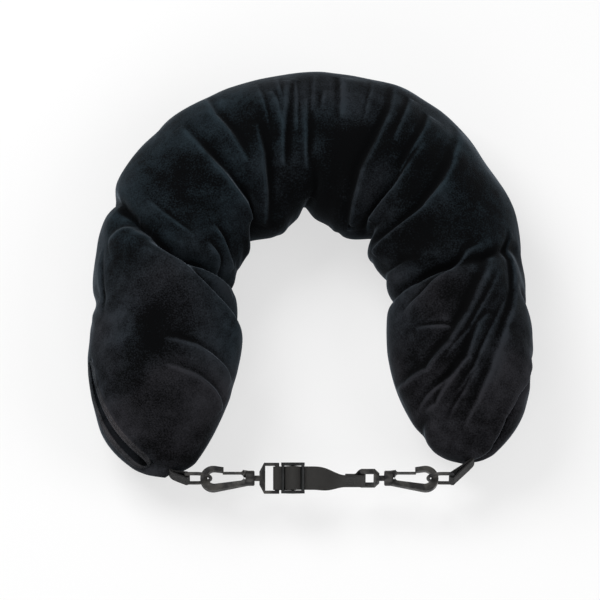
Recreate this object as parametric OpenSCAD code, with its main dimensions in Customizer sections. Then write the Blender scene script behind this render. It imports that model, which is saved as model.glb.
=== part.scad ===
// U shaped neck pillow: a stuffed velvet tube bent into a U, closed across the neck by an
// adjustable webbing strap with a swivel snap hook at each end.
// The pillow lies flat on its underside, with the open side of the U towards -Y.

/* [Pillow] */
// Radius of the tube's centre line round the back of the neck
bend_r = 127; // [110:1:150]
// Straight length of the left arm
left_arm_l = 163; // [140:1:200]
// Straight length of the right arm
right_arm_l = 153; // [140:1:200]
// Width of the stuffed tube
tube_w = 124; // [100:1:130]
// Height of the stuffed tube as it lies
tube_h = 114; // [90:1:130]
// How deep the underside is pressed flat
rest_d = 5; // [2:0.5:10]
// Thickness of the velvet cover
cover_t = 2.5; // [1.5:0.1:4]
// Clearance between the filling and the cover
fill_gap = 0.4; // [0.2:0.05:1]

/* [Folds] */
// Depth of the deepest crease between two folds
fold_d = 7; // [0:0.5:8]
// Distance from a crease to the lips of the folds beside it
fold_lip = 8; // [6:0.5:10]

/* [Arm ends] */
// Length over which an arm narrows to its tip
nose_l = 105; // [80:1:120]
// Width of the sewn tip
tip_w = 30; // [24:1:40]
// Height of the sewn tip
tip_h = 22; // [20:1:40]
// Height of the tip's centre above the surface the pillow lies on
tip_z = 40; // [34:1:50]
// How far the left tip leans in from the arm's centre line
left_tip_in = 7; // [0:0.5:12]
// How far the right tip leans out from the arm's centre line
right_tip_out = 2; // [0:0.5:8]

/* [Zip] */
// Length of the zip along the left arm's end
zip_l = 74; // [60:1:80]
// Start of the zip behind the left tip
zip_start = 13; // [10:1:20]
// Height of the zip's line at the left tip
zip_z = 46; // [42:1:50]
// Angle between the zip and the arm, seen from above
zip_lean = 34; // [30:1:38]
// Upward tilt of the zip's face
zip_tilt = 35; // [25:1:45]
// How far the zip's face is set in from the outer edge of the tip
zip_inset = 4; // [2:0.5:6]
// Climb of the zip towards the back, in its own face
zip_climb = 10; // [4:1:14]
// Width of one zip tape
tape_w = 6; // [4:0.5:8]
// Thickness of the zip tape
tape_t = 1.2; // [0.8:0.1:1.4]
// Spacing of the teeth on one tape
tooth_pitch = 2.4; // [2:0.1:3.2]
// Thickness of one tooth along the zip
tooth_t = 0.9; // [0.6:0.1:0.95]
// Length of one tooth across the zip
tooth_l = 3; // [2:0.1:4]
// Height of one tooth
tooth_h = 2; // [1.6:0.1:2.4]
// Length of the zip's slider
runner_l = 11; // [8:0.5:14]
// Length of the pull tab
pull_l = 24; // [16:1:30]

/* [Webbing] */
// Width of the strap and tab webbing
web_w = 20; // [15:1:25]
// Thickness of the webbing
web_t = 1.2; // [0.8:0.1:1.6]
// Clearance round bars and between webbing layers
web_gap = 0.3; // [0.2:0.05:0.5]
// Distance of the strap's axis in front of the longer arm's tip
strap_out = 5; // [4:0.5:10]
// Height of the strap's axis
strap_z = 38; // [30:1:48]
// Sideways reach of the left tab from the tip's centre to the ring's bar
left_tab_reach = 15; // [12:0.5:24]
// Sideways reach of the right tab from the tip's centre to the ring's bar
right_tab_reach = 9; // [4:0.5:20]
// Roll of the strap about its axis at the left frame
left_roll = 16; // [0:1:40]
// Roll of the strap about its axis at the right frame
right_roll = 80; // [0:1:90]
// Length of the sewn overlap at the right frame
overlap_l = 8; // [6:1:16]

/* [Rings] */
// Wire thickness of the D-rings
ring_wire = 3; // [2.4:0.1:4]
// Distance from a ring's bar to the middle of its bow
ring_reach = 20.5; // [18:0.5:26]

/* [Hooks] */
// Length of a hook from its swivel face to its tip
hook_l = 46; // [42:1:54]
// Thickness of a hook's flat body
hook_t = 6; // [5:0.25:8]
// Outer radius of a hook's bow
bow_r = 11; // [10:0.25:13]
// Thickness of a hook at its tip
bow_wall = 6; // [4:0.25:7]
// Radius of the round collar at a hook's base
collar_r = 6.5; // [6:0.25:8]
// Length of the solid collar that the swivel stud turns in
collar_l = 5.5; // [4:0.25:7]
// Length of the gate's blade
gate_l = 17; // [15:0.5:18]
// Thickness of the gate's blade
gate_t = 1.3; // [1:0.1:1.6]
// Gate pivot radius
gate_pin_r = 1.3; // [1:0.05:1.5]
// Running clearance of the gate's pivot and the swivel stud
run_gap = 0.06; // [0.02:0.01:0.1]

/* [Strap frames] */
// Radius of the swivel stud
stud_r = 2.4; // [2:0.1:3]
// Radius of the stud's snap head
stud_head_r = 3.4; // [3:0.1:3.6]
// Length of the snap head
stud_head_l = 1.8; // [1.2:0.1:2.4]
// Distance from the swivel face to the bar that carries the webbing
frame_l = 19; // [17:0.5:24]
// Radius of that bar
frame_bar_r = 1.9; // [1.5:0.1:2.4]
// Width of the frame's side rails
rail_w = 2.6; // [2:0.1:3.5]

/* [Strap adjuster] */
// Length of the adjuster along the strap
adjuster_l = 20; // [18:0.5:26]
// Radius of the adjuster's two upper bars
adjuster_bar_r = 1.3; // [1:0.1:1.6]
// Radius of the lower middle bar that the webbing is sewn round
middle_bar_r = 1.1; // [0.9:0.1:1.4]
// Gap between the left frame and the adjuster at rest
adjuster_gap = 1.5; // [1:0.1:4]
// How far the adjuster slides along the strap
adjuster_travel = 6; // [4:1:12]

/* [Hidden] */
$fn = 48;
eps = 0.01;

// Derived sizes of the pillow
half_w = tube_w / 2;
half_h = (tube_h + rest_d) / 2;
tube_z = tube_h - half_h;
bend_l = PI * bend_r / 2;
slot_w = web_w + 1;
frame_w = slot_w + 2 * rail_w;
long_arm_l = max(left_arm_l, right_arm_l);
front_reach = long_arm_l + strap_out + frame_w / 2;
back_reach = bend_r + half_w;
bend_y = (front_reach - back_reach) / 2;
strap_y = bend_y - long_arm_l - strap_out;
left_tip = [-bend_r + left_tip_in, bend_y - left_arm_l];
right_tip = [bend_r + right_tip_out, bend_y - right_arm_l];

// Main creases of each half. Each has its share of the way from the middle of the back to the tip, on
// the outside and on the inside of the bend, and its share of the full depth there.
left_creases = [[0, 0, 0, 0.7], [0.25, 0.29, 0.3, 0.85], [0.395, 0.55, 0.7, 1], [0.64, 0.795, 0.15, 0.55]];
right_creases = [[0, 0, 0, 0.7], [0.21, 0.295, 0.15, 0.85], [0.5, 0.6, 0.6, 0.85], [0.715, 0.895, 0.3, 0.55]];

// Places where the stuffing bunches, or goes slack where the height is below 0. Each has its share of
// the way to the tip, its angle round the tube, its height, its reach along the tube and its spread
// round it in degrees.
left_lobes = [[0.163, 175, 11, 28, 50], [0.367, 170, 4, 30, 45], [0.53, 10, -5, 50, 45],
              [0.694, 175, 6, 45, 45]];
right_lobes = [[0.146, 25, 4, 18, 45], [0.16, 175, 12, 34, 50], [0.343, 15, -4, 18, 45],
               [0.416, 170, 11, 30, 45], [0.52, 15, -9, 38, 45], [0.895, 5, 7, 34, 45]];
wide_fold = 100;
sides = 16;

// Distance along the tube from the middle of the back to a tip
function half_l(side) = bend_l + (side < 0 ? left_arm_l : right_arm_l);

// Rise from 0 at a tip to 1 where the arm is full
function swell(d) = sin(90 * pow(max(0, min(1, d / nose_l)), 0.8));

// Sideways place of the section's centre, outward from the centre line
function section_shift(side, d) =
    (side < 0 ? -left_tip_in : right_tip_out) * (1 - swell(d));

// Rise of the bunched stuffing at a place along a half and round the tube
function lobe_rise(side, along, a) =
    let (
        rises = [for (lobe = side < 0 ? left_lobes : right_lobes)
            let (
                off = (along - lobe[0] * half_l(side)) / lobe[3],
                turn = ((a - lobe[1] + 540) % 360 - 180) / lobe[4]
            )
            lobe[2] * exp(-off * off - turn * turn)]
    )
    rises * [for (rise = rises) 1];

// Rings of a half: each crease, the lips beside it and the swell between two creases.
// A ring has its place on the outside and inside of the bend and its share of the depth there.
function fold_rings(creases, whole) =
    concat([for (k = [0 : len(creases) - 1])
        let (
            here = [creases[k][0], creases[k][1]] * whole,
            next = k + 1 < len(creases) ? [creases[k + 1][0], creases[k + 1][1]] * whole : [whole, whole],
            lip = [fold_lip, fold_lip],
            swells = next[1] - here[1] > wide_fold ? 2 : 1
        )
        each concat(
            [[here, [creases[k][2], creases[k][3]]], [here + lip, [0, 0]]],
            [for (m = [1 : swells]) [here + (next - here) * m / (swells + 1), [0, 0]]],
            [[next - lip, [0, 0]]]
        )], [[[whole, whole], [0, 0]]]);

// Slope of the zip's face: above 0 outside it
function zip_side(n, d, z) =
    (n - zip_edge - d * tan(zip_lean)) * cos(zip_tilt) + (z - zip_z) * sin(zip_tilt);
zip_edge = tip_w / 2 - left_tip_in - zip_inset;
zip_grade = sqrt(pow(cos(zip_tilt) / cos(zip_lean), 2) + pow(sin(zip_tilt), 2));

// Point of the tube's skin on a ring and side j, laid a depth below the outer face
function skin_point(side, ring, j, depth) =
    let (
        a = 360 * j / sides,
        inside = (1 - cos(a)) / 2,
        along = ring[0][0] + (ring[0][1] - ring[0][0]) * inside,
        d = half_l(side) - depth - along,
        drop = fold_d * (ring[1][0] + (ring[1][1] - ring[1][0]) * inside) * swell(d),
        rise = lobe_rise(side, along, a) - drop - depth,
        w = tip_w / 2 + (half_w - tip_w / 2) * swell(d) + rise,
        h = tip_h / 2 + (half_h - tip_h / 2) * swell(d) + rise,
        zc = tip_z + (tube_z - tip_z) * swell(d),
        n0 = section_shift(side, d) + w * cos(a),
        z0 = max(depth, zc + h * sin(a)),
        over = side < 0 && along > bend_l ? max(0, zip_side(n0, d, z0) + depth * zip_grade) : 0,
        n = n0 - over * cos(zip_tilt),
        z = z0 - over * sin(zip_tilt),
        turn = 90 - min(90, along / bend_r * 180 / PI),
        run = max(0, along - bend_l)
    )
    [side * (bend_r + n) * cos(turn), bend_y + (bend_r + n) * sin(turn) - run, z];

// Closed skin of the tube, laid a depth below the outer face
module skin(depth) {
    left = fold_rings(left_creases, half_l(-1) - depth);
    right = fold_rings(right_creases, half_l(1) - depth);
    rows = len(left) + len(right) - 1;
    points = concat(
        [for (i = [len(left) - 1 : -1 : 1], j = [0 : sides - 1]) skin_point(-1, left[i], j, depth)],
        [for (ring = right, j = [0 : sides - 1]) skin_point(1, ring, j, depth)]
    );
    walls = [for (i = [0 : rows - 2], j = [0 : sides - 1])
        let (k = (j + 1) % sides, a = i * sides + j, b = i * sides + k)
        each [[a, a + sides, b], [b, a + sides, b + sides]]];
    ends = [for (j = [1 : sides - 2])
        each [[0, j, j + 1], [(rows - 1) * sides, (rows - 1) * sides + j + 1, (rows - 1) * sides + j]]];
    polyhedron(points, concat(walls, ends));
}

// Zip: local X runs back from the tip, local Y runs down across the zip, local Z out of its face
zip_up = atan(tan(zip_tilt) * cos(zip_lean));
zip_origin = [-bend_r - zip_edge, left_tip[1], zip_z];
zip_w = 2 * tape_w + tooth_l;
tooth_offset = 1;
slot_gap = 0.3;
tape_top = -0.4;
tooth_top = tape_top - tape_t / 2 + tooth_h / 2;
stop_l = 2.2;
runner_gap = 0.25;

module zip_place() {
    translate(zip_origin)
        rotate([0, 0, 90 + zip_lean])
        rotate([zip_up - 90, 0, 0])
        rotate([0, 0, -zip_climb])
        translate([zip_start, 0, 0])
        children();
}

module zip_opening() {
    zip_place()
        translate([-slot_gap, -zip_w / 2 - slot_gap, -2 * cover_t])
        cube([zip_l + 2 * slot_gap, zip_w + 2 * slot_gap, 4 * cover_t]);
}

// One zip tape with its row of teeth: hand is -1 above the teeth and 1 below
module zip_tape(hand) {
    teeth = floor((zip_l - 4 * stop_l) / tooth_pitch);
    first = 2 * stop_l + (hand < 0 ? 0 : tooth_pitch / 2);
    tape_y = hand < 0 ? -zip_w / 2 : tooth_l / 2 + slot_gap / 2;
    tooth_y = hand * tooth_offset - tooth_l / 2;
    zip_place() {
        translate([0, tape_y, tape_top - tape_t])
            cube([zip_l, tape_w - slot_gap / 2, tape_t]);
        for (i = [0 : teeth - 1])
            translate([first + i * tooth_pitch, tooth_y, tooth_top - tooth_h])
                cube([tooth_t, tooth_l, tooth_h]);
    }
}

module zip_tape_upper() {
    color("#15171a") zip_tape(-1);
}

module zip_tape_lower() {
    color("#15171a") zip_tape(1);
}

// Crimped stops that close both ends of the row of teeth
module zip_stops() {
    color("#2a2c2f")
    zip_place()
        for (x = [stop_l / 2, zip_l - 3 * stop_l / 2])
            translate([x, -tooth_l / 2 - slot_gap / 4, tape_top + slot_gap / 4])
                cube([stop_l, tooth_l + slot_gap / 2, tooth_h / 2]);
}

// Slider body that straddles the teeth, with the eye bar that carries the pull
runner_x = 3 * stop_l;
runner_wall = 1.25;
runner_lid = 1.2;
teeth_w = tooth_l + 2 * tooth_offset + 2 * runner_gap;
runner_w = teeth_w + 2 * runner_wall;
runner_top = tooth_top + runner_gap + runner_lid;
post_t = 1.4;
post_l = 3;
post_cap = 0.4;
pull_rise = 2.2;
pull_bar_r = 0.8;
pull_bar_z = runner_top + pull_rise;
pull_bar_x = runner_x + runner_l / 2;

module zip_slider() {
    color("#3a3c40")
    zip_place() {
        difference() {
            translate([runner_x, -runner_w / 2, tape_top + runner_gap])
                cube([runner_l, runner_w, runner_top - tape_top - runner_gap]);
            translate([runner_x - 1, -teeth_w / 2, tape_top - 1])
                cube([runner_l + 2, teeth_w, tooth_top + runner_gap - tape_top + 1]);
        }
        for (y = [-runner_w / 2, runner_w / 2 - post_t])
            translate([pull_bar_x - post_l / 2, y, runner_top - eps])
                cube([post_l, post_t, pull_bar_z + pull_bar_r + post_cap - runner_top]);
        translate([pull_bar_x, runner_w / 2 - eps, pull_bar_z])
            rotate([90, 0, 0])
            cylinder(r = pull_bar_r, h = runner_w - 2 * eps);
    }
}

// Pull tab: an eye round the slider's bar, a waist and a rounded grip
module zip_pull() {
    pull_t = 1.6;
    eye_w = runner_w - 2 * post_t - 2 * runner_gap;
    grip_w = 6;
    neck_l = pull_l * 0.4;
    wall = 1;
    color("#3a3c40")
    zip_place()
        translate([pull_bar_x, 0, pull_bar_z])
        difference() {
            union() {
                translate([0, eye_w / 2, 0])
                    rotate([90, 0, 0])
                    cylinder(r = pull_bar_r + run_gap + wall, h = eye_w);
                translate([0, 0, -pull_t / 2])
                    linear_extrude(pull_t) {
                        translate([0, -eye_w / 2])
                            square([neck_l + wall, eye_w]);
                        translate([neck_l, -grip_w / 2])
                            square([pull_l - neck_l - grip_w / 2, grip_w]);
                        translate([pull_l - grip_w / 2, 0])
                            circle(d = grip_w);
                    }
            }
            translate([0, eye_w, 0])
                rotate([90, 0, 0])
                cylinder(r = pull_bar_r + run_gap, h = 2 * eye_w);
            translate([pull_l - grip_w / 2, 0, -pull_t])
                cylinder(d = grip_w / 2, h = 2 * pull_t);
        }
}

module velvet_cover() {
    color("#101214")
    difference() {
        skin(0);
        skin(cover_t);
        zip_opening();
    }
}

module filling() {
    color("#d9d6cf") skin(cover_t + fill_gap);
}

// Points on an arc
round_steps = 24;
function arc(x, y, r, from, to, steps) =
    [for (i = [0 : steps]) let (a = from + (to - from) * i / steps) [x + r * cos(a), y + r * sin(a)]];

// Flat outline that runs straight between two circles
module taper(x1, r1, x2, r2, y1 = 0, y2 = 0) {
    run = norm([x2 - x1, y2 - y1]);
    lean = acos((r1 - r2) / run);
    translate([x1, y1])
        rotate(atan2(y2 - y1, x2 - x1))
        polygon(concat(
            arc(0, 0, r1, lean, 360 - lean, round_steps),
            arc(run, 0, r2, -lean, lean, round_steps)
        ));
}

// Webbing tab: a strip folded round the ring's bar, its two ends sewn together into the arm's tip
left_bar_x = left_tip[0] + left_tab_reach;
right_bar_x = right_tip[0] - right_tab_reach;
left_seat_in = 3;
right_seat_out = 7;
left_seat = [left_tip[0] + left_seat_in, left_tip[1] - fill_gap - web_t];
right_seat = [right_tip[0] + right_seat_out, right_tip[1] - fill_gap - web_t];

module tab(seat, bar) {
    reach = norm(seat - bar);
    bar_space = ring_wire / 2 + web_gap;
    open_share = 0.65;
    crease_r = 0.1;
    color("#1b1d20")
    translate([bar[0], bar[1], strap_z - web_w / 2])
        rotate(atan2(seat[1] - bar[1], seat[0] - bar[0]))
        linear_extrude(web_w)
        difference() {
            taper(0, bar_space + web_t, reach, web_t);
            taper(0, bar_space, reach * open_share, crease_r);
        }
}

module left_tab() {
    tab(left_seat, [left_bar_x, strap_y]);
}

module right_tab() {
    tab(right_seat, [right_bar_x, strap_y]);
}

// D-ring with its straight bar upright in the tab; hand is the way the bow points along X
ring_half = slot_w / 2 + ring_wire / 2;

module ring(bar_x, hand) {
    wire_r = ring_wire / 2;
    leg_l = ring_reach - ring_half;
    color("#26282b")
    translate([bar_x, strap_y, strap_z])
        mirror([hand < 0 ? 1 : 0, 0, 0]) {
            translate([0, 0, -ring_half])
                cylinder(r = wire_r, h = 2 * ring_half);
            for (z = [-ring_half, ring_half])
                translate([0, 0, z]) {
                    sphere(wire_r);
                    rotate([0, 90, 0])
                        cylinder(r = wire_r, h = leg_l);
                }
            translate([leg_l, 0, 0])
                rotate([90, 0, 0])
                rotate([0, 0, -90])
                rotate_extrude(angle = 180)
                translate([ring_half, 0])
                circle(wire_r);
        }
}

module left_ring() {
    ring(left_bar_x, 1);
}

module right_ring() {
    ring(right_bar_x, -1);
}

// Snap hook: local X runs from the swivel face to the tip, local +Y is the gate's side
ring_play = 1.3;
hook_grip = hook_l - bow_wall - ring_play - ring_wire / 2;
left_base_x = left_bar_x + ring_reach + hook_grip;
right_base_x = right_bar_x - ring_reach - hook_grip;
bow_x = hook_l - bow_r;
eye_r_bow = 6;
eye_x_bow = hook_l - bow_wall - eye_r_bow;
eye_y_bow = 0.2;
eye_r_base = 3.4;
eye_x_base = collar_l + 6.9;
eye_y_base = 0.4;
bow_y = -0.8;
gate_x = collar_l + 4.6;
gate_y = 4.5;
gate_inset = 0.8;
gate_w = hook_t - 2 * gate_inset;
pocket_play = 0.4;
pocket_l = stud_head_l + 2 * run_gap + pocket_play;
base_x = collar_l + pocket_l;
mouth_gap = 0.4;
mouth_d = 2;
mouth_flare = 0.8;
nose_lap = 0.6;

module hook_place(base, hand) {
    translate([base, strap_y, strap_z])
        mirror([hand < 0 ? 1 : 0, 0, 0])
        children();
}

module hook() {
    edge = 0.8;
    root_step = 0.5;
    root_l = 1;
    color("#17191b")
    difference() {
        union() {
            rotate([0, 90, 0])
                rotate_extrude()
                polygon([[0, 0], [collar_r - edge, 0], [collar_r, edge], [collar_r, base_x - edge],
                         [collar_r - edge, base_x], [0, base_x]]);
            translate([0, 0, -hook_t / 2])
                linear_extrude(hook_t)
                difference() {
                    taper(base_x - root_l, collar_r - root_step, bow_x, bow_r, 0, bow_y);
                    taper(eye_x_base, eye_r_base, eye_x_bow, eye_r_bow, eye_y_base, eye_y_bow);
                    polygon([[gate_x, gate_y - gate_pin_r - mouth_gap],
                             [gate_x + gate_l - nose_lap, gate_y - mouth_d],
                             [gate_x + gate_l - nose_lap - mouth_flare, 2 * bow_r],
                             [gate_x + 2 * mouth_flare, 2 * bow_r],
                             [gate_x, gate_y + gate_pin_r + mouth_gap]]);
                    translate([gate_x, gate_y])
                        circle(gate_pin_r + run_gap);
                }
        }
        translate([-eps, 0, 0])
            rotate([0, 90, 0])
            cylinder(r = stud_r + run_gap, h = base_x);
        translate([collar_l, 0, 0])
            rotate([0, 90, 0])
            cylinder(r = stud_head_r + run_gap, h = pocket_l + root_l);
    }
}

// Sprung gate: a thin blade on a round root, its free end inside the hook's nose
module gate() {
    color("#26282b")
    translate([gate_x, gate_y, -gate_w / 2]) {
        cylinder(r = gate_pin_r, h = gate_w);
        translate([0, -gate_t / 2, 0])
            cube([gate_l - gate_t / 2, gate_t, gate_w]);
        translate([gate_l - gate_t / 2, 0, 0])
            cylinder(d = gate_t, h = gate_w);
    }
}

module left_hook() {
    hook_place(left_base_x, -1) hook();
}

module right_hook() {
    hook_place(right_base_x, 1) hook();
}

module left_gate() {
    hook_place(left_base_x, -1) gate();
}

module right_gate() {
    hook_place(right_base_x, 1) gate();
}

// Strap frame: a snap stud that turns in the hook's collar and an eye whose bar carries the webbing.
// Local X runs from the swivel face towards the strap.
stud_neck = 4;
stud_root = 1;
shoulder_l = 4;
shoulder_w = 11;
head_taper = 0.6;

module strap_frame() {
    shoulder_x = stud_neck + shoulder_l;
    eye_l = frame_l - shoulder_x - stud_root;
    color("#1e2022") {
        rotate([0, -90, 0])
            translate([0, 0, -stud_neck - stud_root])
            cylinder(r = stud_r, h = stud_neck + stud_root + collar_l + run_gap + stud_head_l);
        rotate([0, -90, 0])
            translate([0, 0, collar_l + run_gap])
            cylinder(r1 = stud_head_r, r2 = stud_head_r - head_taper, h = stud_head_l);
        translate([0, 0, -frame_bar_r])
            linear_extrude(2 * frame_bar_r)
            difference() {
                polygon([[stud_neck, -shoulder_w / 2], [shoulder_x, -frame_w / 2], [frame_l, -frame_w / 2],
                         [frame_l, frame_w / 2], [shoulder_x, frame_w / 2], [stud_neck, shoulder_w / 2]]);
                translate([frame_l - eye_l, -slot_w / 2])
                    square([eye_l + 1, slot_w]);
            }
        translate([frame_l, frame_w / 2, 0])
            rotate([90, 0, 0])
            cylinder(r = frame_bar_r, h = frame_w);
    }
}

module left_frame() {
    translate([left_base_x, strap_y, strap_z])
        rotate([left_roll, 0, 0])
        strap_frame();
}

module right_frame() {
    translate([right_base_x, strap_y, strap_z])
        rotate([right_roll, 0, 0])
        mirror([1, 0, 0])
        strap_frame();
}

// Strap webbing, laid out along X about the strap's axis and then rolled
left_bar = left_base_x + frame_l;
right_bar = right_base_x - frame_l;
wrap_r = frame_bar_r + web_gap + web_t / 2;
adjuster_x = left_bar + frame_bar_r + adjuster_gap + adjuster_l / 2;
twist_gap = 1;
lap_gap = 0.1;
tuck_l = 6;
lap_x = right_bar - tuck_l - overlap_l;
twist_from = adjuster_x + adjuster_l / 2 + adjuster_travel + twist_gap;
twist_to = lap_x;

function roll_at(x) =
    let (t = max(0, min(1, (x - twist_from) / (twist_to - twist_from))))
    left_roll + (right_roll - left_roll) * t * t * (3 - 2 * t);

// Sideways unit vector of a path at point i
function path_side(path, i) =
    let (
        last = len(path) - 1,
        step = path[min(last, i + 1)] - path[max(0, i - 1)]
    )
    [-step[1], step[0]] / norm(step);

// Webbing ribbon that follows a path in the strap's side view
module ribbon(path) {
    n = len(path);
    corners = [[-1, -1], [1, -1], [1, 1], [-1, 1]];
    points = [for (i = [0 : n - 1], c = corners)
        let (
            q = path[i] + path_side(path, i) * c[1] * web_t / 2,
            y = c[0] * web_w / 2,
            a = roll_at(q[0])
        )
        [q[0], strap_y + y * cos(a) - q[1] * sin(a), strap_z + y * sin(a) + q[1] * cos(a)]];
    walls = [for (i = [0 : n - 2], j = [0 : 3])
        let (k = (j + 1) % 4, a = i * 4 + j, b = i * 4 + k)
        each [[a, b, a + 4], [b, b + 4, a + 4]]];
    last = 4 * (n - 1);
    ends = [[0, 2, 1], [0, 3, 2], [last, last + 1, last + 2], [last, last + 2, last + 3]];
    polyhedron(points, concat(walls, ends));
}

// Main run: round the left frame's bar, through the adjuster, and sewn back on itself at the right frame
module strap_webbing() {
    wrap_steps = 8;
    twist_steps = 14;
    under = wrap_r - web_t - lap_gap;
    tuck_drop = 0.5;
    color("#1b1d20")
    ribbon(concat(
        arc(left_bar, 0, wrap_r, 270, 90, wrap_steps),
        [for (i = [0 : twist_steps]) [twist_from + (twist_to - twist_from) * i / twist_steps, wrap_r]],
        arc(right_bar, 0, wrap_r, 90, -90, wrap_steps),
        [[right_bar - tuck_l / 3, tuck_drop - wrap_r], [right_bar - tuck_l * 0.8, under - tuck_drop],
         [right_bar - tuck_l, under], [lap_x, under]]
    ));
}

// Return layer of the webbing: from the left frame to the adjuster's middle bar, sewn round it
middle_r = middle_bar_r + web_gap + web_t / 2;
middle_z = -wrap_r + middle_r;

module strap_loop() {
    wrap_steps = 12;
    sewn_l = 1.8;
    sewn_z = web_t + lap_gap - wrap_r;
    color("#1b1d20")
    ribbon(concat(
        [[left_bar + web_gap, -wrap_r]],
        arc(adjuster_x, middle_z, middle_r, -90, 180, wrap_steps),
        [[adjuster_x - middle_r - sewn_l * 0.4, sewn_z - lap_gap * 2],
         [adjuster_x - middle_r - sewn_l, sewn_z]]
    ));
}

// Three-bar adjuster: the strap runs under the two upper bars and over the sewn middle bar
rail_edge = 0.3;

module strap_adjuster() {
    upper_z = wrap_r + web_t / 2 + web_gap + adjuster_bar_r;
    rail_r = adjuster_bar_r + rail_edge;
    rail_x = adjuster_l / 2 - rail_r;
    bar_l = slot_w + rail_w;
    color("#1e2022")
    translate([adjuster_x, strap_y, strap_z])
        rotate([left_roll, 0, 0])
        {
            for (y = [-slot_w / 2, slot_w / 2 + rail_w])
                translate([0, y, 0])
                    rotate([90, 0, 0])
                    linear_extrude(rail_w)
                    offset(r = rail_r)
                    polygon([[-rail_x, upper_z], [0, middle_z], [rail_x, upper_z]]);
            for (x = [-rail_x, rail_x])
                translate([x, bar_l / 2, upper_z])
                    rotate([90, 0, 0])
                    cylinder(r = adjuster_bar_r, h = bar_l);
            translate([0, bar_l / 2, middle_z])
                rotate([90, 0, 0])
                cylinder(r = middle_bar_r, h = bar_l);
        }
}

velvet_cover();
filling();
zip_tape_upper();
zip_tape_lower();
zip_stops();
zip_slider();
zip_pull();
left_tab();
right_tab();
left_ring();
right_ring();
left_hook();
left_gate();
left_frame();
right_hook();
right_gate();
right_frame();
strap_webbing();
strap_loop();
strap_adjuster();
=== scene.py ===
"""Looks of a u shaped velvet neck pillow with a webbing strap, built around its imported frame.

Lengths are metres and angles are degrees. A station is a place along the tube: 0 at the middle of the
back, negative towards the left tip and positive towards the right tip. A section angle goes round the
tube: 0 outside the bend, 90 on top, 180 inside the bend and 270 underneath.
"""

import logging
import math
from dataclasses import dataclass, field
from enum import Enum

import bmesh
import bpy
import numpy as np
from mathutils import Matrix, Vector


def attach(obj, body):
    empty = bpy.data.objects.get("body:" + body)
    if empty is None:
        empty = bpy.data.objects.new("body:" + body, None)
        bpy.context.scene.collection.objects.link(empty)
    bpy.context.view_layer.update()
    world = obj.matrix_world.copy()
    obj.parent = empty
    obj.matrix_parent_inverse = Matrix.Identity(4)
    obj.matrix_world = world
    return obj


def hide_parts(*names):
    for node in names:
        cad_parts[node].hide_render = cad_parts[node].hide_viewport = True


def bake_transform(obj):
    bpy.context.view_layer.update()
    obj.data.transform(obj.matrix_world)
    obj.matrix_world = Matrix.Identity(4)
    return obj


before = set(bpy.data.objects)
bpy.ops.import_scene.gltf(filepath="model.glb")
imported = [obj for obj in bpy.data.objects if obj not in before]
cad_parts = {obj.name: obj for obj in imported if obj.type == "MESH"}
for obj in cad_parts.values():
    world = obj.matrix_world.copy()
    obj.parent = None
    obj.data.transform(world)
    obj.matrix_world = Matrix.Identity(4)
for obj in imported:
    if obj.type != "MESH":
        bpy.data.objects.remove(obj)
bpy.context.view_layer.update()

LOG = logging.getLogger("neck_pillow")
MM = 0.001
TINY = 1e-12


class Body(str, Enum):
    """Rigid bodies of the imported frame."""

    PILLOW = "pillow"
    ZIP_SLIDER = "zip_slider"
    ZIP_PULL = "zip_pull"
    LEFT_RING = "left_ring"
    RIGHT_RING = "right_ring"
    LEFT_HOOK = "left_hook"
    RIGHT_HOOK = "right_hook"
    LEFT_GATE = "left_gate"
    RIGHT_GATE = "right_gate"
    STRAP = "strap"
    ADJUSTER = "adjuster"


class Side(Enum):
    """The two arms of the pillow, by the sign of X."""

    LEFT = -1
    RIGHT = 1


class Press(Enum):
    """How a fold is pressed into the velvet."""

    RIDGE = "ridge"
    GROOVE = "groove"


def smooth(low: float, high: float, value: np.ndarray) -> np.ndarray:
    """Smooth step.

    Args:
        low: value where the step starts.
        high: value where the step ends.
        value: values to map.

    Returns:
        0 before low, 1 after high and an even curve between.
    """
    t = np.clip((value - low) / (high - low), 0.0, 1.0)
    return t * t * (3.0 - 2.0 * t)


def unit(vectors: np.ndarray) -> np.ndarray:
    """Vectors along the last axis, scaled to length 1."""
    return vectors / np.maximum(np.linalg.norm(vectors, axis=-1, keepdims=True), TINY)


def spline(before: np.ndarray, a: np.ndarray, b: np.ndarray, after: np.ndarray, t: float) -> np.ndarray:
    """Smooth curve between two points.

    Args:
        before: point before the first one.
        a: first point.
        b: second point.
        after: point after the second one.
        t: share of the way from a to b.

    Returns:
        The point at that share.
    """
    return 0.5 * (2 * a + (b - before) * t + (2 * before - 5 * a + 4 * b - after) * t ** 2
                  + (3 * a - before - 3 * b + after) * t ** 3)


def run_lengths(points: np.ndarray) -> np.ndarray:
    """Length of a path from its start to each of its points."""
    return np.concatenate([[0], np.cumsum(np.linalg.norm(np.diff(points, axis=0), axis=1))])


def add_object(name: str, data: bpy.types.ID) -> bpy.types.Object:
    """Makes an object and links it to the scene.

    Args:
        name: name of the object.
        data: its mesh, lamp or camera.

    Returns:
        The object.
    """
    obj = bpy.data.objects.new(name, data)
    bpy.context.scene.collection.objects.link(obj)
    return obj


def shade_smooth(mesh: bpy.types.Mesh) -> None:
    """Shades a mesh's faces as one smooth surface."""
    mesh.polygons.foreach_set("use_smooth", [True] * len(mesh.polygons))


def add_mesh(name: str, points: np.ndarray, faces: list) -> bpy.types.Object:
    """Makes a smooth mesh object.

    Args:
        name: name of the piece.
        points: vertices, one row each.
        faces: vertex numbers of each face.

    Returns:
        The new object, linked to the scene.
    """
    mesh = bpy.data.meshes.new(name)
    mesh.from_pydata([tuple(p) for p in points], [], faces)
    mesh.validate()
    shade_smooth(mesh)
    return add_object(name, mesh)


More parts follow.
